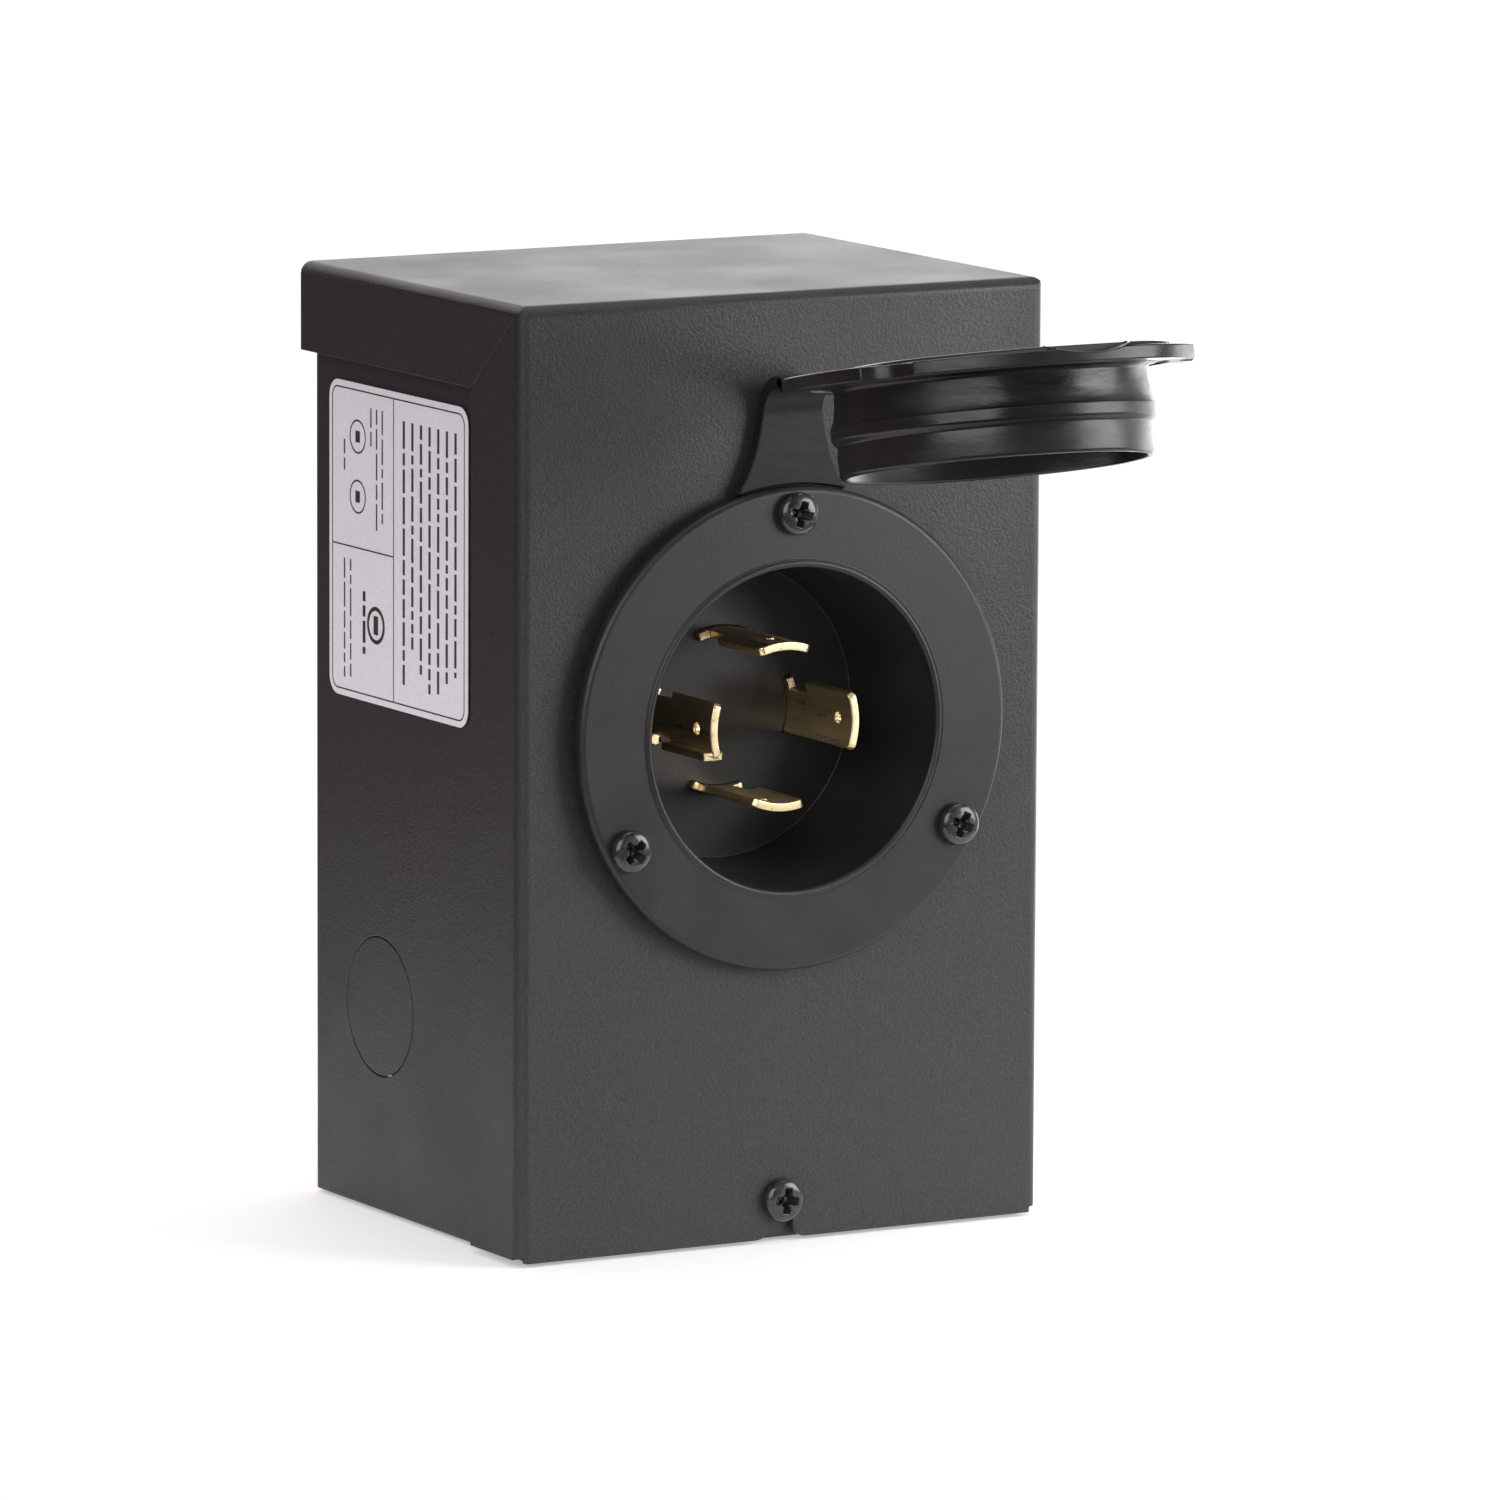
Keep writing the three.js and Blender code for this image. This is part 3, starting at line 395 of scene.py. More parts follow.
# Name, place, the point it faces, size and power.
LIGHTS = (
    ("overhead", (0.1, 0.1, 1.6), (0, -0.05, 0), (1.6, 1.2), 9.6),
    ("right_card", (0.36, -0.42, 0.12), (0.02, -0.08, 0.01), (0.3, 0.32), 1.9),
    ("left_front", (-1.2, -1.1, 0.7), (0, -0.05, 0), (1.4, 1.2), 16),
    ("behind", (0.55, 1.5, 0.55), (0, 0, 0.05), (1.8, 0.8), 12),
    ("rim_card", (0.87, 0.42, -0.1), (0.03, -0.13, 0.05), (1.2, 0.6), 7),
)


def make_studio():
    SCENE.view_settings.view_transform = "Standard"
    make_world()
    make_floor()
    for light in LIGHTS:
        soft_light(*light)


# ---------------------------------------------------------------- looks
class Look:
    """A material with helpers for its nodes."""

    def __init__(self, name, colour, roughness, **constants):
        self.material = bpy.data.materials.new(name)
        self.material.use_nodes = True
        self.tree = self.material.node_tree
        self.shader = self.tree.nodes["Principled BSDF"]
        self.shader.inputs["Base Color"].default_value = (*colour, 1)
        self.shader.inputs["Roughness"].default_value = roughness
        for socket, value in constants.items():
            self.shader.inputs[socket.replace("_", " ")].default_value = value
        self.place = self.node("ShaderNodeTexCoord").outputs["Object"]

    def node(self, kind, **settings):
        made = self.tree.nodes.new(kind)
        for name, value in settings.items():
            setattr(made, name, value)
        return made

    def link(self, source, target):
        self.tree.links.new(source, target)

    def grain(self, size, detail=3, stretch=(1, 1, 1), rough=0.55):
        """Noise with features of about size metres."""
        mapping = self.node("ShaderNodeMapping")
        mapping.inputs["Scale"].default_value = stretch
        self.link(self.place, mapping.inputs["Vector"])
        noise = self.node("ShaderNodeTexNoise")
        noise.inputs["Scale"].default_value = 1 / size
        noise.inputs["Detail"].default_value = detail
        noise.inputs["Roughness"].default_value = rough
        self.link(mapping.outputs["Vector"], noise.inputs["Vector"])
        return noise.outputs["Fac"]

    def spread(self, value, low, high, start=0.3, end=0.7):
        """Maps a noise value onto numbers from low to high."""
        span = self.node("ShaderNodeMapRange")
        span.inputs["From Min"].default_value = start
        span.inputs["From Max"].default_value = end
        span.inputs["To Min"].default_value = low
        span.inputs["To Max"].default_value = high
        self.link(value, span.inputs["Value"])
        return span.outputs["Result"]

    def tint(self, value, low, high, start=0.3, end=0.7):
        """Base colour between two colours."""
        ramp = self.node("ShaderNodeValToRGB")
        first, last = ramp.color_ramp.elements
        first.position, last.position = start, end
        first.color, last.color = (*low, 1), (*high, 1)
        self.link(value, ramp.inputs["Fac"])
        return ramp.outputs["Color"]

    def blend(self, amount, tinted, colour):
        """A tint laid over with a plain colour by an amount from 0 to 1."""
        mix = self.node("ShaderNodeMix", data_type="RGBA")
        self.link(amount, mix.inputs["Factor"])
        self.link(tinted, mix.inputs["A"])
        mix.inputs["B"].default_value = (*colour, 1)
        return mix.outputs["Result"]

    def bump(self, *layers):
        """Layers of (height, depth in metres), laid over each other."""
        normal = None
        for height, depth in layers:
            step = self.node("ShaderNodeBump")
            step.inputs["Strength"].default_value = 1
            step.inputs["Distance"].default_value = depth
            self.link(height, step.inputs["Height"])
            if normal:
                self.link(normal, step.inputs["Normal"])
            normal = step.outputs["Normal"]
        self.link(normal, self.shader.inputs["Normal"])

    def set(self, socket, value):
        self.link(value, self.shader.inputs[socket])


def powder_coat():
    look = Look("powder_coat", (0.022, 0.022, 0.0225), 0.5)
    peel = look.grain(0.0008, 2)
    speck = look.grain(0.00038, 2, rough=0.7)
    cloud = look.grain(0.03, 3)
    plain = look.tint(speck, (0.011, 0.011, 0.0125), (0.033, 0.0332, 0.037), 0.35, 0.72)
    look.set("Base Color", look.blend(look.spread(cloud, 0, 0.35), plain, (0.023, 0.0228, 0.025)))
    look.set("Roughness", look.spread(cloud, 0.42, 0.52))
    look.bump((peel, 0.00006), (speck, 0.00008))
    return look.material


def moulded_black():
    look = Look("moulded_black", (0.016, 0.016, 0.0165), 0.4, Specular_IOR_Level=0.45)
    fine = look.grain(0.0005, 2)
    cloud = look.grain(0.012, 3)
    look.set("Base Color", look.tint(cloud, (0.013, 0.013, 0.0135), (0.018, 0.018, 0.0188)))
    look.set("Roughness", look.spread(cloud, 0.36, 0.46))
    look.bump((fine, 0.00002))
    return look.material


def black_rubber(name, gloss, sheen):
    """Gloss is the lowest and highest roughness; sheen is how strongly the surface mirrors."""
    look = Look(name, (0.01, 0.01, 0.0104), 0.3, Specular_IOR_Level=sheen)
    ripple = look.grain(0.005, 3, (0.5, 0.5, 1.6))
    fine = look.grain(0.0006, 2)
    cloud = look.grain(0.012, 4, (0.6, 0.6, 1.8))
    look.set("Base Color", look.tint(cloud, (0.006, 0.006, 0.0063), (0.014, 0.014, 0.0146)))
    look.set("Roughness", look.spread(cloud, *gloss))
    look.bump((ripple, 0.00012), (fine, 0.000015))
    return look.material


def black_screw():
    look = Look("black_screw", (0.018, 0.018, 0.019), 0.2, Coat_Weight=0.5,
                Coat_Roughness=0.06)
    fine = look.grain(0.0008, 3)
    look.set("Base Color", look.tint(fine, (0.012, 0.012, 0.013), (0.028, 0.028, 0.03)))
    look.set("Roughness", look.spread(fine, 0.18, 0.34))
    look.bump((fine, 0.00002))
    return look.material


def metal(name, dark, light, roughness, brush=(1, 1, 1), size=0.0012):
    look = Look(name, light, roughness[0], Metallic=1.0)
    marks = look.grain(size, 4, brush)
    cloud = look.grain(0.008, 3)
    look.set("Base Color", look.tint(cloud, dark, light))
    look.set("Roughness", look.spread(marks, *roughness))
    look.bump((marks, 0.000003))
    return look.material


def green_screw():
    look = Look("green_screw", (0.02, 0.2, 0.06), 0.3, Metallic=0.7)
    cloud = look.grain(0.002, 3)
    look.set("Base Color", look.tint(cloud, (0.012, 0.13, 0.04), (0.03, 0.25, 0.08)))
    look.set("Roughness", look.spread(cloud, 0.25, 0.42))
    return look.material


def label_foil():
    look = Look("label_foil", (0.9, 0.91, 0.95), 0.42)
    fine = look.grain(0.00035, 2, rough=0.8)
    cloud = look.grain(0.02, 3)
    plain = look.tint(fine, (0.8, 0.82, 0.87), (0.98, 0.99, 1.0), 0.3, 0.7)
    look.set("Base Color", look.blend(look.spread(cloud, 0, 0.25), plain, (0.93, 0.94, 0.97)))
    look.set("Roughness", look.spread(fine, 0.36, 0.5))
    look.bump((fine, 0.00001))
    return look.material


def print_ink():
    look = Look("print_ink", (0.02, 0.02, 0.022), 0.45)
    fine = look.grain(0.0004, 2)
    look.set("Base Color", look.tint(fine, (0.014, 0.014, 0.016), (0.05, 0.05, 0.055)))
    return look.material


BRUSHED = (1, 0.05, 1)
LOOKS = {
    "powder_coat": powder_coat(),
    "moulded_black": moulded_black(),
    "black_rubber": black_rubber("black_rubber", (0.2, 0.46), 0.45),
    "matte_rubber": black_rubber("matte_rubber", (0.45, 0.6), 0.3),
    "black_screw": black_screw(),
    "brass": metal("brass", (0.95, 0.72, 0.38), (1.0, 0.86, 0.55), (0.24, 0.4), BRUSHED),
    "zinc_plate": metal("zinc_plate", (0.5, 0.52, 0.55), (0.66, 0.67, 0.69), (0.25, 0.42)),
    "lug_aluminium": metal("lug_aluminium", (0.6, 0.6, 0.61), (0.74, 0.74, 0.75), (0.3, 0.45)),
    "green_screw": green_screw(),
    "label_foil": label_foil(),
    "print_ink": print_ink(),
}


# ---------------------------------------------------------------- sheet-metal case and cover
def folded_block(half, front, back, bottom, top, radii):
    """A block with the folds of a case: radii are (front, back, bottom, top)."""
    front_r, back_r, bottom_r, top_r = radii
    plan = rounded_rect(-half, half, front, back, (front_r, front_r, back_r, back_r))
    face = rounded_rect(-half, half, bottom, top, (bottom_r, bottom_r, top_r, top_r))
    corners = ((front_r, bottom_r), (back_r, bottom_r), (back_r, top_r), (front_r, top_r))
    side = rounded_rect(front, back, bottom, top, [min(pair) for pair in corners])
    solid = prism(plan, "z", bottom, top)
    return keep(solid, prism(face, "y", front, back), prism(side, "x", -half, half))


COVER_EDGE_Z = COVER_LOW.z - 0.45      # lower edge of the front panel
SIDE_EDGE_Z = COVER_LOW.z + 0.1        # lower edge of the side flanges
NOTCH_WIDTH = 1.8            # of the small notch under each of the cover's upright folds
NOTCH_BACK = BEND + 0.1
NOTCH_Z = COVER_LOW.z + 0.6
SLOT_HALF = 2.5
SLOT_MOUTH_ROUND = 2.8


def on_side(side, inner, outer):
    """The x range between two distances from the middle; side is -1 for left and 1 for right."""
    return sorted((side * inner, side * outer))


def slot_cut():
    """The open slot for the cover screw, with rounded corners at its mouth."""
    screw_z = middle("cover_screw").z
    edge = COVER_EDGE_Z
    side = SLOT_HALF + SLOT_MOUTH_ROUND
    outline = [(-side, edge - SHEET), (side, edge - SHEET)]
    outline += arc(side, edge + SLOT_MOUTH_ROUND, SLOT_MOUTH_ROUND, 270, 180)
    outline += arc(0, screw_z, SLOT_HALF, 0, 180, SMALL)
    outline += arc(-side, edge + SLOT_MOUTH_ROUND, SLOT_MOUTH_ROUND, 0, -90)
    return prism(outline, "y", -PAST, SHEET + PAST)


def mitre_slit(side):
    """The open seam between a side flange and a hood lip, from the corner down."""
    start = Vector((BEND, HEIGHT - BEND))
    end = Vector((COVER_FLANGE + PAST, HEIGHT - HOOD_LIP - PAST))
    across = (end - start).orthogonal().normalized() * MITRE_SLIT / 2
    outline = [start + across, start - across, end - across, end + across]
    return prism(outline, "x", *on_side(side, HALF - SHEET - PAST, HALF + PAST))


def front_cover():
    cover = folded_block(HALF, 0, DEPTH, COVER_EDGE_Z, HEIGHT, (BEND, 0, 0, BEND))
    inside = folded_block(HALF - SHEET, SHEET, DEPTH + PAST, COVER_LOW.z - PAST, HEIGHT - SHEET,
                          (BEND - SHEET, 0, 0, BEND - SHEET))
    cut(cover, inside)
    cut(cover, block(-HALF - PAST, HALF + PAST, COVER_FLANGE, DEPTH + PAST, -PAST,
                     HEIGHT - HOOD_LIP))
    tools = [mitre_slit(-1), mitre_slit(1), slot_cut(),
             rod(CUP_R + CUP_GAP, 0, INLET_Z, "y", -PAST, SHEET + PAST)]
    for side in (-1, 1):
        flange = on_side(side, HALF - SHEET - PAST, HALF + PAST)
        tools.append(block(*flange, BEND, COVER_FLANGE + PAST, -PAST, SIDE_EDGE_Z))
        notch = on_side(side, HALF - NOTCH_WIDTH, HALF + PAST)
        tools.append(block(*notch, -PAST, NOTCH_BACK, -PAST, NOTCH_Z))
    tools += [rod(FLANGE_HOLE_R, *around(SCREW_PITCH_R, angle), "y", -PAST, SHEET + PAST, SMALL)
              for angle in SCREW_ANGLES.values()]
    cut(cover, *tools)
    finish_piece(cover, "front_cover_shell", "cover", LOOKS["powder_coat"],
                 ["front_cover"], edge=0.22)


MOUNTING_HOLES = [(-36, 22), (36, 22), (-36, 150), (36, 150)]
MOUNTING_HOLE_R = 2.6
EARTH_HOLE_R = 2.3
RIVET_HOLE_R = 3.6
KNOCKOUT_GAP = 0.13
KNOCKOUTS = ("left", "right", "bottom", "back")


def knockout_place(node):
    """(radius, u, v, axis) of a knockout slug; its axis is the thin direction."""
    low, high = part_box(node)
    size = high - low
    centre = (low + high) / 2
    thin = min(range(3), key=lambda k: size[k])
    across = [k for k in range(3) if k != thin]
    return max(size) / 2, centre[across[0]], centre[across[1]], "xyz"[thin]


def back_box():
    front, top = CASE_LOW.y, CASE_HIGH.z
    box = folded_block(CASE_HALF, front, DEPTH, 0, top, (BEND, BEND, CASE_BOTTOM_BEND, BEND))
    fold = BEND - SHEET
    inside = folded_block(CASE_HALF - SHEET, front + SHEET, DEPTH - SHEET, SHEET, top - SHEET,
                          (fold,) * 4)
    cut(box, inside)
    cut(box, block(-CASE_HALF, CASE_HALF, front - PAST, front + BEND, CASE_FLANGE_Z, HEIGHT),
        block(-CASE_HALF - PAST, CASE_HALF + PAST, front - PAST, DEPTH - CASE_TOP_FLANGE,
              top - BEND, HEIGHT))
    through_back = (DEPTH - SHEET - PAST, DEPTH + PAST)
    walls = {"back": through_back, "bottom": (-PAST, SHEET + PAST),
             "left": on_side(-1, CASE_HALF - SHEET - PAST, CASE_HALF + PAST),
             "right": on_side(1, CASE_HALF - SHEET - PAST, CASE_HALF + PAST)}
    tools = []
    for name in KNOCKOUTS:
        radius, u, v, axis = knockout_place("knockout_" + name)
        tools.append(rod(radius + KNOCKOUT_GAP, u, v, axis, *walls[name]))
    tools += [rod(MOUNTING_HOLE_R, x, z, "y", *through_back, SMALL) for x, z in MOUNTING_HOLES]
    for node in ("ground_lug_screw", "ground_bond_screw"):
        centre = middle(node)
        tools.append(rod(EARTH_HOLE_R, centre.x, centre.z, "y", *through_back, SMALL))
    centre = middle("cover_rivet_nut")
    tools.append(rod(RIVET_HOLE_R, centre.x, centre.z, "y", 0, front + SHEET + PAST, SMALL))
    cut(box, *tools)
    finish_piece(box, "back_box_shell", "case", LOOKS["powder_coat"],
                 ["back_box"], edge=0.3)


KNOCKOUT_STEPS = 96


def knockouts():
    for name in KNOCKOUTS:
        node = "knockout_" + name
        radius, u, v, axis = knockout_place(node)
        low, high = part_box(node)
        index = "xyz".index(axis)
        slug = rod(radius, u, v, axis, low[index], high[index], KNOCKOUT_STEPS)
        finish_piece(slug, node + "_slug", "case", LOOKS["powder_coat"], [node],
                     edge=0.18)


# ---------------------------------------------------------------- rating label
PRINT_T = 0.04
PRINT_SINK = 0.01            # how far the print goes into the foil


def print_mesh(loops, face):
    """Flat printed shapes on the label's face: each loop of (y, z) points, PRINT_T thick."""
    points, faces = [], []
    for loop in loops:
        first, count = len(points), len(loop)
        points += [(x, y, z) for x in (face, face - PRINT_T) for y, z in loop]
        faces.append([first + k for k in range(count)])
        faces.append([first + 2 * count - 1 - k for k in range(count)])
        faces += [[first + k, first + (k + 1) % count, first + count + (k + 1) % count,
                   first + count + k] for k in range(count)]
    return mesh_object("print", points, faces)


def bar(y0, y1, z0, z1):
    return [(y0, z0), (y1, z0), (y1, z1), (y0, z1)]


def ring_loops(y, z, radius, width, steps=36):
    """A printed ring, as short quads."""
    inner = arc(y, z, radius - width / 2, 0, 360, steps)
    outer = arc(y, z, radius + width / 2, 0, 360, steps)
    return [[inner[k], outer[k], outer[k + 1], inner[k + 1]] for k in range(steps)]


def dashes(y, z_top, z_end, width, rng):
    """A row of dashes as long as words that runs down the label; it isn't lettering."""
    loops = []
    z = z_top
    while z > z_end + SHORTEST_DASH:
        length = min(rng.uniform(*DASH_LENGTHS), z - z_end)
        loops.append(bar(y - width / 2, y + width / 2, z - length, z))
        z -= length + DASH_GAP
    return loops


def dash_rows(y, step, z_top, z_ends, width, rng):
    """Rows of dashes, the first at y; each ends at its own z."""
    loops = []
    for row, z_end in enumerate(z_ends):
        loops += dashes(y + row * step, z_top, z_end, width, rng)
    return loops


def ringed_bar(y, z, radius, line, bar_half, bar_reach):
    """A ring with a plain bar in it."""
    inside = bar(y - bar_half, y + bar_half, z - bar_reach, z + bar_reach)
    return ring_loops(y, z, radius, line) + [inside]


def border_loops(y0, y1, z0, z1, corner, width):
    outer = rounded_rect(y0, y1, z0, z1, [corner] * 4)
    inner = rounded_rect(y0 + width, y1 - width, z0 + width, z1 - width, [corner - width] * 4)
    count = len(outer)
    return [[outer[k], outer[(k + 1) % count], inner[(k + 1) % count], inner[k]]
            for k in range(count)]


LABEL_SEED = 5
LABEL_CORNER = 3.5
BORDER_INSET = 1.2
LINE = 0.28
DIVIDER_Y = 0.53             # of the label's width, from the front
DIVIDER_Z = 0.48             # of its height
DASH_LENGTHS = (1.6, 5.4)
SHORTEST_DASH = 1
DASH_GAP = 0.8
FINE_PRINT = 0.5             # widths of the printed rows
NOTICE_PRINT = 0.85
BOLD_PRINT = 1.1
NOTICE_ENDS = (8, 5, 4, 3, 6, 11, 4)
RATING_ENDS = (4, 3, 19)
RATING_RINGS = (9, 20.5)


def rating_label():
    low, high = part_box("rating_label")
    foil = prism(rounded_rect(low.y, high.y, low.z, high.z, [LABEL_CORNER] * 4), "x", low.x, high.x)
    finish_piece(foil, "rating_label_foil", "case", LOOKS["label_foil"],
                 ["rating_label"], edge=0.05)
    rng = random.Random(LABEL_SEED)
    y0, y1 = low.y + BORDER_INSET, high.y - BORDER_INSET
    z0, z1 = low.z + BORDER_INSET, high.z - BORDER_INSET
    split_y = low.y + (high.y - low.y) * DIVIDER_Y
    split_z = low.z + (high.z - low.z) * DIVIDER_Z
    loops = border_loops(y0, y1, z0, z1, LABEL_CORNER - BORDER_INSET, LINE)
    loops.append(bar(split_y - LINE / 2, split_y + LINE / 2, z0, z1))
    loops.append(bar(split_y, y1, split_z - LINE / 2, split_z + LINE / 2))
    # The long notice in the front half.
    loops += dash_rows(y0 + 3.6, 3.45, z1 - 4, [z0 + end for end in NOTICE_ENDS], NOTICE_PRINT, rng)
    # Ratings, two ringed signs and a line below them in the upper back quarter.
    loops += dash_rows(split_y + 4.6, 2.3, z1 - 3, [split_z + end for end in RATING_ENDS],
                       FINE_PRINT, rng)
    for drop in RATING_RINGS:
        loops += ringed_bar(split_y + 14.6, z1 - drop, 3.1, 0.35, 0.9, 1.1)
    loops += dashes(split_y + 20, z1 - 10, split_z + 14, FINE_PRINT, rng)
    # A ringed mark, its name and two rows in the lower back quarter.
    loops += ringed_bar(split_y + 7.2, split_z - 14, 3.2, 0.8, 0.9, 1.8)
    loops += dashes(split_y + 12, split_z - 8, split_z - 20, BOLD_PRINT, rng)
    loops += dash_rows(split_y + 17.5, 2.5, split_z - 2.5, [z0 + 2.5] * 2, FINE_PRINT, rng)
    ink = print_mesh(loops, low.x + PRINT_SINK)
    finish_piece(ink, "rating_label_print", "case", LOOKS["print_ink"], edge=0,
                 smooth=False)


# ---------------------------------------------------------------- screws
HEAD_H = 2.3                 # height of a screw's pan head
SHANK_R = 2
HEAD_SIDE = 0.42             # how much of the head's height is its side, below the crown
CROWN_FLAT = 0.42            # the crown's flat top, as a share of the head's radius
FOOT_ROUND = (0.1, 0.15)
CROWN_STEPS = 10
CROWN_DOME = 0.05
ARM_SHARES = (0.76, 0.2)     # the recess's arms: half length and half width over the head's radius
ARM_TAPER = (0.35, 0.7)      # how much of each is left at the bottom
ARM_BOTTOM = 0.3             # how far below the head's underside the arms end
HUB_SHARES = (0.42, 0.36, 0.26, 0.1)    # the hub's radii, from the top down
HUB_BOTTOM = 1.0


def pan_screw(head_r, head_h, shank_r, shank_length):
    """A pan-head cross-recess screw on +Y with its head's underside at y = 0, facing -Y."""
    side_h = head_h * HEAD_SIDE
    crown_h = head_h - side_h
    flat_r = head_r * CROWN_FLAT
    profile = [(0, 0), (head_r - FOOT_ROUND[0], 0), (head_r, -FOOT_ROUND[1])]
    for k in range(CROWN_STEPS + 1):
        angle = math.pi / 2 * k / CROWN_STEPS
        profile.append((flat_r + (head_r - flat_r) * math.cos(angle),
                        -side_h - crown_h * math.sin(angle)))
    profile.append((0, -head_h - CROWN_DOME))
    head = turned(profile, MEDIUM)
    add(head, rod(shank_r, 0, 0, "y", -head_h / 4, shank_length, SMALL))
    for turn in (0, 90):
        cut(head, recess_arm(head_r * ARM_SHARES[0], head_r * ARM_SHARES[1], head_h, turn))
    mouth, rim, waist, point = (head_r * share for share in HUB_SHARES)
    hub = turned([(0, -head_h - PAST), (mouth, -head_h - PAST), (rim, -head_h),
                  (waist, -head_h * 0.3), (point, HUB_BOTTOM - 0.1), (0, HUB_BOTTOM)], SMALL)
    return cut(head, hub)


def recess_arm(wide, narrow, head_h, turn):
    """A tapered bar that cuts two arms of the cross."""
    top = -head_h - PAST
    points = [(-wide, top, -narrow), (wide, top, -narrow), (wide, top, narrow), (-wide, top, narrow)]
    points += [(x * ARM_TAPER[0], ARM_BOTTOM, z * ARM_TAPER[1]) for x, _, z in points]
    arm = mesh_object("arm", points, [[0, 1, 2, 3], [7, 6, 5, 4], [0, 4, 5, 1], [1, 5, 6, 2],
                                      [2, 6, 7, 3], [3, 7, 4, 0]])
    arm.data.transform(Matrix.Rotation(math.radians(turn), 4, "Y"))
    return arm


def place_screw(node, body, turn):
    low, high = part_box(node)
    centre = (low + high) / 2
    head_r = (high.x - low.x) / 2
    screw = pan_screw(head_r, HEAD_H, SHANK_R, high.y - low.y - HEAD_H)
    screw.data.transform(Matrix.Translation((centre.x, low.y + HEAD_H, centre.z))
                         @ Matrix.Rotation(math.radians(turn), 4, "Y"))
    finish_piece(screw, node + "_head", body, LOOKS["black_screw"], [node],
                 edge=0.12)


# How far each screw's cross is turned, clockwise in degrees.
FLANGE_TURNS = {"top": 14, "left": 44, "right": 24}
COVER_TURN = 6


def screws():
    for place, turn in FLANGE_TURNS.items():
        place_screw("flange_screw_" + place, "cover", turn)
    place_screw("cover_screw", "case", COVER_TURN)


# ---------------------------------------------------------------- inlet
LIP_WIDTH = 1.5              # of the bead round the mouth
LIP_RISE = 0.45
LIP_FILLET = 0.25
SLOT_GAP = 0.05              # between a blade and its slot
FLANGE_ROUND = 1.2
WALL_DRAFT = ((8, 0.2), (17, 0.5))    # depth in the recess, and how much narrower it is there


def inlet_housing():
    profile = [(0, CUP_BACK), (CUP_R, CUP_BACK), (CUP_R, FLANGE_BACK), (FLANGE_R, FLANGE_BACK)]
    profile += arc(FLANGE_R - FLANGE_ROUND, FLANGE_FRONT + FLANGE_ROUND, FLANGE_ROUND, 0, -90)
    # A proud, rounded lip round the mouth, then the drafted wall of the recess.
    lip_r = LIP_WIDTH / 2
    profile += arc(MOUTH_R + LIP_WIDTH + LIP_FILLET, FLANGE_FRONT - LIP_FILLET, LIP_FILLET, 90, 180, 4)
    profile += arc(MOUTH_R + lip_r, FLANGE_FRONT - LIP_RISE + lip_r, lip_r, -20, -180, 14)
    profile += [(MOUTH_R - inset, FLANGE_FRONT + depth) for depth, inset in WALL_DRAFT]
    profile += [(FLOOR_R, FLOOR_Y), (0, FLOOR_Y)]
    cup = turned(profile)
    cup.data.transform(Matrix.Translation((0, 0, INLET_Z)))
    tools = [rod(FLANGE_HOLE_R, *around(SCREW_PITCH_R, angle), "y", FLANGE_FRONT - PAST,
                 FLANGE_BACK + PAST, SMALL) for angle in SCREW_ANGLES.values()]
    for name, angle in BLADES.items():
        for section in blade_sections(name, SLOT_GAP):
            tools.append(at_blade(section, angle, FLOOR_Y - PAST, CUP_BACK + PAST))
    cut(cup, *tools)
    finish_piece(cup, "inlet_cup", "cover", LOOKS["moulded_black"],
                 ["inlet_housing"], edge=0.2)


HOOK_LENGTH = 3.2
BLADE_STEPS = 12


def blade_outline(v0, v1, grow=0.0):
    """A blade's curved section; u is outward and v is anticlockwise round the inlet."""
    inner = BLADE_R - BLADE_T / 2 - grow
    outer = BLADE_R + BLADE_T / 2 + grow
    start, end = (math.degrees(v / BLADE_R) for v in (v0 - grow, v1 + grow))
    return arc(0, 0, outer, start, end, BLADE_STEPS) + arc(0, 0, inner, end, start, BLADE_STEPS)


def hook_outline(grow=0.0):
    """The section of the ground blade's foot, which turns outward at its anticlockwise edge."""
    angle = BLADE_W / 2 / BLADE_R
    u, v = BLADE_R * math.cos(angle), BLADE_R * math.sin(angle)
    return [(u - BLADE_T / 2 - grow, v - BLADE_T - grow), (u + HOOK_LENGTH + grow, v - BLADE_T - grow),
            (u + HOOK_LENGTH + grow, v + grow), (u - BLADE_T / 2 - grow, v + grow)]


def blade_sections(name, grow=0.0):
    whole = [blade_outline(-BLADE_W / 2, BLADE_W / 2, grow)]
    return whole + [hook_outline(grow)] if name == "ground_blade" else whole


def at_blade(outline, angle, y0, y1):
    solid = prism(outline, "y", y0, y1)
    solid.data.transform(Matrix.Translation((0, 0, INLET_Z))
                         @ Matrix.Rotation(-math.radians(angle), 4, "Y"))
    return solid


def slice_along(obj, axis, start, end, steps):
    """Cuts a mesh's faces at even steps along an axis, so that it can be bent."""
    work = bmesh.new()
    work.from_mesh(obj.data)
    normal = Vector([axis == k for k in "xyz"])
    for k in range(1, steps):
        level = start + (end - start) * k / steps
        bmesh.ops.bisect_plane(work, geom=work.verts[:] + work.edges[:] + work.faces[:],
                               plane_co=normal * level, plane_no=normal)
    work.to_mesh(obj.data)
    work.free()


LOW_NOTCH = 1.2              # depth of the neck's cut on the clockwise side
HIGH_NOTCH = 2.2
CORNER_CUT = 0.7
NECK_Y = 16.5                # where the neck starts, behind the tip
SHOULDER_Y = FLOOR_Y - 1.6
HOOK_INSET = 0.02            # keeps the foot's faces off the blade's
HOOK_ROOT = 2                # how far into the floor the foot goes
TIP_HOLE = (1.1, 5.5)        # radius, and distance behind the tip
TERMINAL_HOLE = (2.1, 36.5)  # radius, and its place from the cover's front


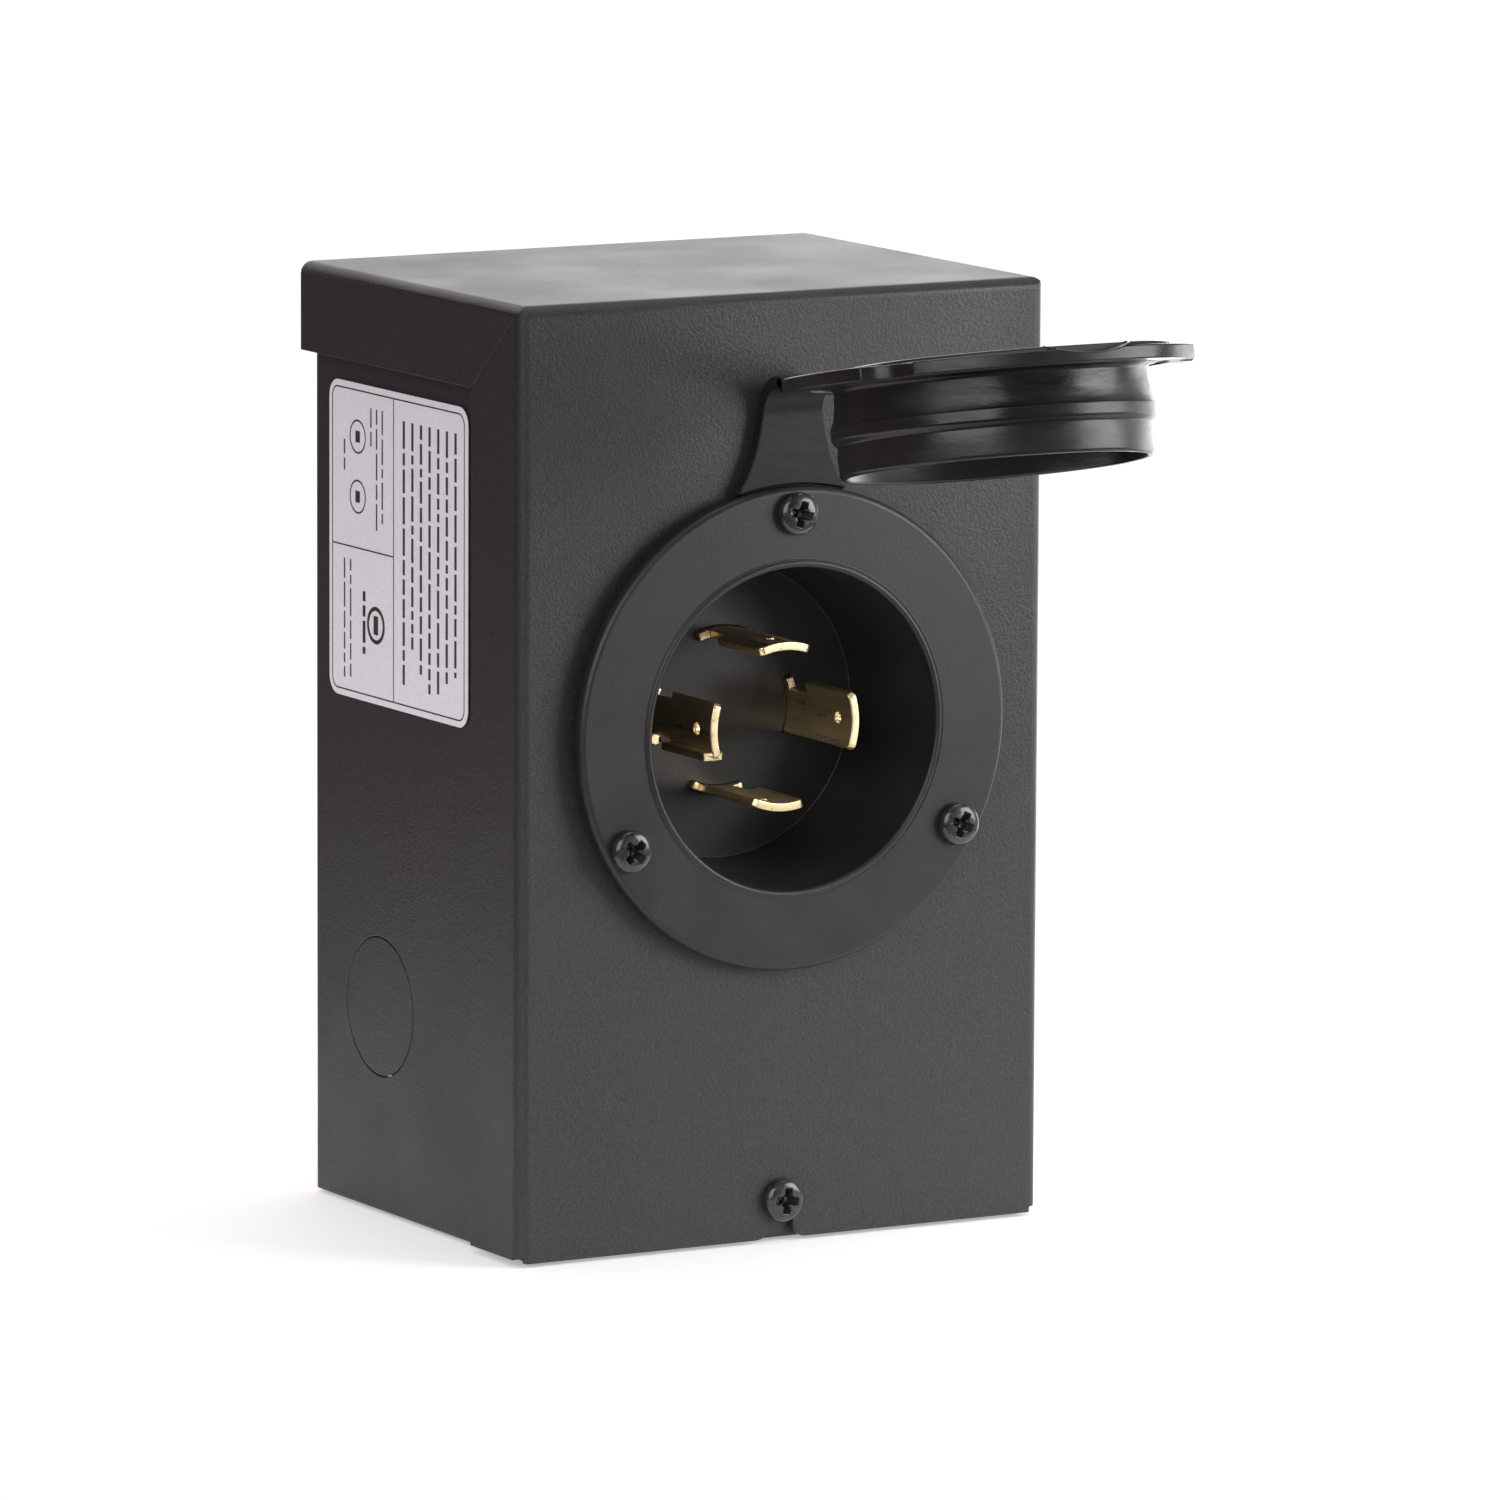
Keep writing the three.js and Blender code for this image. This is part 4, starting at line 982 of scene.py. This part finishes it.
def blade(name):
    """Drawn flat, x through the blade and z along its arc, then bent to the blade circle."""
    low, high = part_box(name)
    half = BLADE_W / 2
    tip, neck = low.y, low.y + NECK_Y
    low_cut = 0 if name == "neutral_blade" else LOW_NOTCH
    outline = [(tip, CORNER_CUT - half), (tip + CORNER_CUT, -half)]
    if low_cut:
        outline += [(neck, -half), (neck, low_cut - half), (SHOULDER_Y, low_cut - half),
                    (SHOULDER_Y, -half)]
    outline += [(high.y, -half), (high.y, half), (SHOULDER_Y, half),
                (SHOULDER_Y, half - HIGH_NOTCH), (neck, half - HIGH_NOTCH), (neck, half),
                (tip + CORNER_CUT, half), (tip, half - CORNER_CUT)]
    plate = prism(outline, "x", -BLADE_T / 2, BLADE_T / 2)
    cut(plate, rod(TIP_HOLE[0], tip + TIP_HOLE[1], 0, "x", -BLADE_T, BLADE_T, SMALL),
        rod(TERMINAL_HOLE[0], TERMINAL_HOLE[1], 0, "x", -BLADE_T, BLADE_T, SMALL))
    slice_along(plate, "z", -half, half, BLADE_STEPS)
    for vertex in plate.data.vertices:
        through, y, along = vertex.co
        radius, angle = BLADE_R + through, along / BLADE_R
        vertex.co = (radius * math.cos(angle), y, radius * math.sin(angle))
    if name == "ground_blade":
        foot = hook_outline(-HOOK_INSET)
        add(plate, prism(foot, "y", tip + HOOK_INSET, neck),
            prism(foot, "y", SHOULDER_Y, FLOOR_Y + HOOK_ROOT))
    plate.data.transform(Matrix.Translation((0, 0, INLET_Z))
                         @ Matrix.Rotation(-math.radians(BLADES[name]), 4, "Y"))
    finish_piece(plate, name + "_contact", "cover", LOOKS["brass"], [name], edge=0.25)


# ---------------------------------------------------------------- rubber strap and flip cap
STRAP_HALF = 6.4             # half width along the narrow stretch
STRAP_FOOT_HALF = 12.0       # half width at the foot, on the gasket
STRAP_T = 2.5
STRAP_NARROW_Z = 157.5       # where the strap has narrowed to its even width
STRAP_ROOT = 6.0             # how far its foot goes under the flange
STRAP_FLARE_START = 1.5      # how far below the flange's top the narrowing starts
STRAP_FLARE = 0.55           # how much of the narrowing is a quick curve at the foot
STRAP_GAP = 0.4              # between the strap and the flange's edge
STRAP_UNDER = 0.3            # from the flange's back to the stretch of strap under it
STRAP_STEPS = 16
GASKET_INSET = 0.8           # the gasket's edge inside the flange's
GASKET_BACK = -0.3
GASKET_FRONT = -1.5
CAP_REACH = -20.0            # a y in front of the strap

KNUCKLE_R = 1.15
ARM_FRONT, ARM_BACK = -0.75, 1.9
ARM_REACH = 41.0             # how far the arm runs down over the cap
ARM_TIP = (0.4, 1.0)         # y of the arm's point, and how much farther down it is
CAP_LIFT = 0.35              # from the flange to the shut cap
CAP_R = 37.6
CAP_PLATE = 2.6
CAP_ROUND = 0.4
CROWN_R = 29.4               # the raised disc on the cap
CROWN_DROP = 8.0             # how far its centre is below the cap's
CROWN_T = 0.7
CROWN_ROUND = 0.6
CROWN_SINK = 0.5
SKIRT_R = 29.1
SKIRT_WALL = 4.0
SKIRT_LENGTH = 16.7
SKIRT_FILLET = 1.2
# The skirt's outside, as (depth below the plate, radius over SKIRT_R) above and below its bead.
SKIRT_WAIST = ((3.0, -0.5), (5.6, -0.1))
SKIRT_NECK = ((10.6, -0.5), (12.4, -0.3))
SKIRT_BEAD_R = 29.7
SKIRT_BEAD_ROUND = 0.9
SKIRT_BEAD = (7.6, 9.2)      # depths of the bead's two rounds
# The skirt's rim, as (inward from SKIRT_R, back from the mouth).
SKIRT_RIM = ((0.5, 0.5), (0.9, 0.1), (1.3, 0), (1.8, 0.2), (2.0, 0.7))
SKIRT_THICK_FROM = 6.0       # the wall is full thickness this far from the mouth
MOUTH_TILT = 0.04            # the soft skirt hangs a little longer on its right and inner side
TILT_TOWARDS = (0.5, 0.86)   # x and z of that side
NOTCH_R = 6.5                # cuts in the plate for the two lower screws
POCKET_R = 5.6               # hollow under the arm for the top screw
POCKET_Y = 1.05
SCOOP_R = 26.0               # finger scoop at the cap's tip
SCOOP_DEPTH = 1.6
SCOOP_SPAN = (-2.0, 3.4)     # z of its ends, from the tip
SCOOP_STEPS = 128
CAP_PLACE = (TO_ROW @ Matrix.Translation((0, HINGE_PLACE.y, HINGE_PLACE.z))
             @ Matrix.Rotation(-CAP_OPEN, 4, "X"))


def strap_outline(foot_z):
    """The strap's front view: it flares out at the foot and narrows to the top."""
    steps = 2 * FOLD
    start_z = foot_z - STRAP_FLARE_START
    side = []
    for k in range(steps + 1):
        t = k / steps
        flare = (1 - t) ** 3 * STRAP_FLARE + (1 - t) * (1 - STRAP_FLARE)
        side.append((STRAP_HALF + (STRAP_FOOT_HALF - STRAP_HALF) * flare,
                     start_z + (STRAP_NARROW_Z - start_z) * t))
    top = [(STRAP_HALF, HEIGHT), (-STRAP_HALF, HEIGHT)]
    return side + top + [(-x, z) for x, z in reversed(side)]


def strap_side(from_z):
    """The strap's side view: up the cover, then round and out to the hinge line."""
    middle_r = GASKET_BACK - STRAP_T / 2 - HINGE_PLACE.y
    bend = (HINGE_PLACE.y, HINGE_PLACE.z - middle_r)
    outline = [(GASKET_BACK, from_z)] + arc(*bend, middle_r + STRAP_T / 2, 0, 90, STRAP_STEPS)
    outline += arc(HINGE_PLACE.y, HINGE_PLACE.z, STRAP_T / 2, 90, 270, 12)[1:-1]
    outline += arc(*bend, middle_r - STRAP_T / 2, 90, 0, STRAP_STEPS)
    outline.append((GASKET_BACK - STRAP_T, from_z))
    return prism(outline, "x", -STRAP_FOOT_HALF - PAST, STRAP_FOOT_HALF + PAST)


def gasket_strap():
    inner, outer = CUP_R + CUP_GAP, FLANGE_R - GASKET_INSET
    ring = turned([(inner, GASKET_BACK), (inner, GASKET_FRONT), (outer, GASKET_FRONT),
                   (outer, GASKET_BACK)])
    ring.data.transform(Matrix.Translation((0, 0, INLET_Z)))
    foot_z = INLET_Z + FLANGE_R
    strap = keep(strap_side(foot_z - STRAP_ROOT),
                 prism(strap_outline(foot_z), "y", CAP_REACH, PAST))
    cut(strap, rod(FLANGE_R + STRAP_GAP, 0, INLET_Z, "y", CAP_REACH, FLANGE_BACK + STRAP_UNDER,
                   FINE))
    add(ring, strap)
    finish_piece(ring, "gasket_strap_rubber", "cover", LOOKS["matte_rubber"],
                 ["gasket_strap"], edge=0.3)


def cap_profile(seat):
    """The cap's plate and skirt, to be turned; seat is the y of the plate's underside."""
    front = seat - CAP_PLATE
    end = seat + SKIRT_LENGTH
    inner = SKIRT_R - SKIRT_WALL
    profile = [(0, front)] + arc(CAP_R - CAP_ROUND, front + CAP_ROUND, CAP_ROUND, -90, 0, 4)
    profile += arc(CAP_R - CAP_ROUND, seat - CAP_ROUND, CAP_ROUND, 0, 90, 4)
    # A groove for the lip round the mouth.
    groove = (MOUTH_R + LIP_WIDTH + 2 * LIP_FILLET, MOUTH_R - LIP_FILLET)
    profile += [(groove[0], seat), (groove[0], seat - LIP_RISE), (groove[1], seat - LIP_RISE),
                (groove[1], seat)]
    profile += arc(SKIRT_R + SKIRT_FILLET / 2, seat + SKIRT_FILLET, SKIRT_FILLET, -90, -180, 5)
    profile += [(SKIRT_R + out, seat + depth) for depth, out in SKIRT_WAIST]
    bead = SKIRT_BEAD_R - SKIRT_BEAD_ROUND
    profile += arc(bead, seat + SKIRT_BEAD[0], SKIRT_BEAD_ROUND, -40, 0, 4)
    profile += arc(bead, seat + SKIRT_BEAD[1], SKIRT_BEAD_ROUND, 0, 50, 4)
    profile += [(SKIRT_R + out, seat + depth) for depth, out in SKIRT_NECK]
    profile += [(SKIRT_R - inset, end - back) for inset, back in SKIRT_RIM]
    return profile + [(inner, end - SKIRT_THICK_FROM), (inner - 0.5, seat + 0.6),
                      (inner - 1.1, seat), (0, seat)]


def cap_cuts(front, seat, tip_z):
    """Room for the screw heads when the cap is shut, and the finger scoop at its tip."""
    tools = []
    for place, angle in SCREW_ANGLES.items():
        x, z = around(SCREW_PITCH_R, angle)
        radius, depth = (POCKET_R, POCKET_Y) if place == "top" else (NOTCH_R, front - 2 * PAST)
        tools.append(rod(radius, x, z - HINGE_PLACE.z, "y", depth, seat + 2 * PAST))
    scoop_y = front - CROWN_T - SCOOP_R + SCOOP_DEPTH
    ends = [tip_z + z for z in SCOOP_SPAN]
    return tools + [rod(SCOOP_R, 0, scoop_y, "z", *ends, SCOOP_STEPS)]


def flip_cap():
    """Drawn shut, with y = 0 and z = 0 on the hinge line."""
    seat = FLANGE_FRONT - CAP_LIFT - HINGE_PLACE.y
    front = seat - CAP_PLATE
    centre_z = INLET_Z - HINGE_PLACE.z
    body = turned(cap_profile(seat))
    tilt_x, tilt_z = TILT_TOWARDS
    for vertex in body.data.vertices:
        down = max(0, vertex.co.y - seat) / SKIRT_LENGTH
        vertex.co.y += MOUTH_TILT * down * (tilt_x * vertex.co.x + tilt_z * vertex.co.z)
    body.data.transform(Matrix.Translation((0, 0, centre_z)))
    crown_edge = arc(CROWN_R - CROWN_ROUND, front - CROWN_T + CROWN_ROUND, CROWN_ROUND, -90, 0, 5)
    crown = turned([(0, front - CROWN_T)] + crown_edge
                   + [(CROWN_R, front + CROWN_SINK), (0, front + CROWN_SINK)])
    crown.data.transform(Matrix.Translation((0, 0, centre_z - CROWN_DROP)))
    arm = prism([(ARM_FRONT, 0), (ARM_BACK, 0), (ARM_BACK, -ARM_REACH),
                 (ARM_TIP[0], -ARM_REACH - ARM_TIP[1]), (ARM_FRONT, -ARM_REACH)], "x",
                -STRAP_HALF, STRAP_HALF)
    knuckle = rod(KNUCKLE_R, 0, 0, "x", -STRAP_HALF, STRAP_HALF, SMALL)
    add(body, crown, arm, knuckle)
    cut(body, *cap_cuts(front, seat, centre_z - CAP_R))
    finish_piece(body, "flip_cap_rubber", "cap", LOOKS["black_rubber"],
                 ["flip_cap"], edge=0.3, place=CAP_PLACE)


# ---------------------------------------------------------------- CAD pieces that keep their shape
WELD = 0.002
FLAT_ANGLE = 0.6             # degrees between facets that are one face
NODE_EDGE = 0.18


def refine_node(node, slot, edge):
    """Rounded edges, even normals and a finish on a CAD piece whose shape stays."""
    obj = frame["nodes"][node]
    weld = obj.modifiers.new("weld", "WELD")
    weld.merge_threshold = WELD * MM
    flat = obj.modifiers.new("flat", "DECIMATE")
    flat.decimate_type = "DISSOLVE"
    flat.angle_limit = math.radians(FLAT_ANGLE)
    round_edges(obj, edge * MM, segments=2)
    soften(obj)
    obj.data.shade_smooth()
    obj.data.materials.clear()
    obj.data.materials.append(LOOKS[slot])


def refine_nodes():
    for part in frame["record"]["subparts"]:
        node = part["node"]
        if not frame["nodes"][node].hide_render:
            refine_node(node, part["material_slot"], NODE_EDGE)


# ---------------------------------------------------------------- assembly
make_camera()
make_studio()
front_cover()
back_box()
knockouts()
rating_label()
screws()
inlet_housing()
for blade_name in BLADES:
    blade(blade_name)
gasket_strap()
flip_cap()
refine_nodes()

bpy.context.view_layer.update()
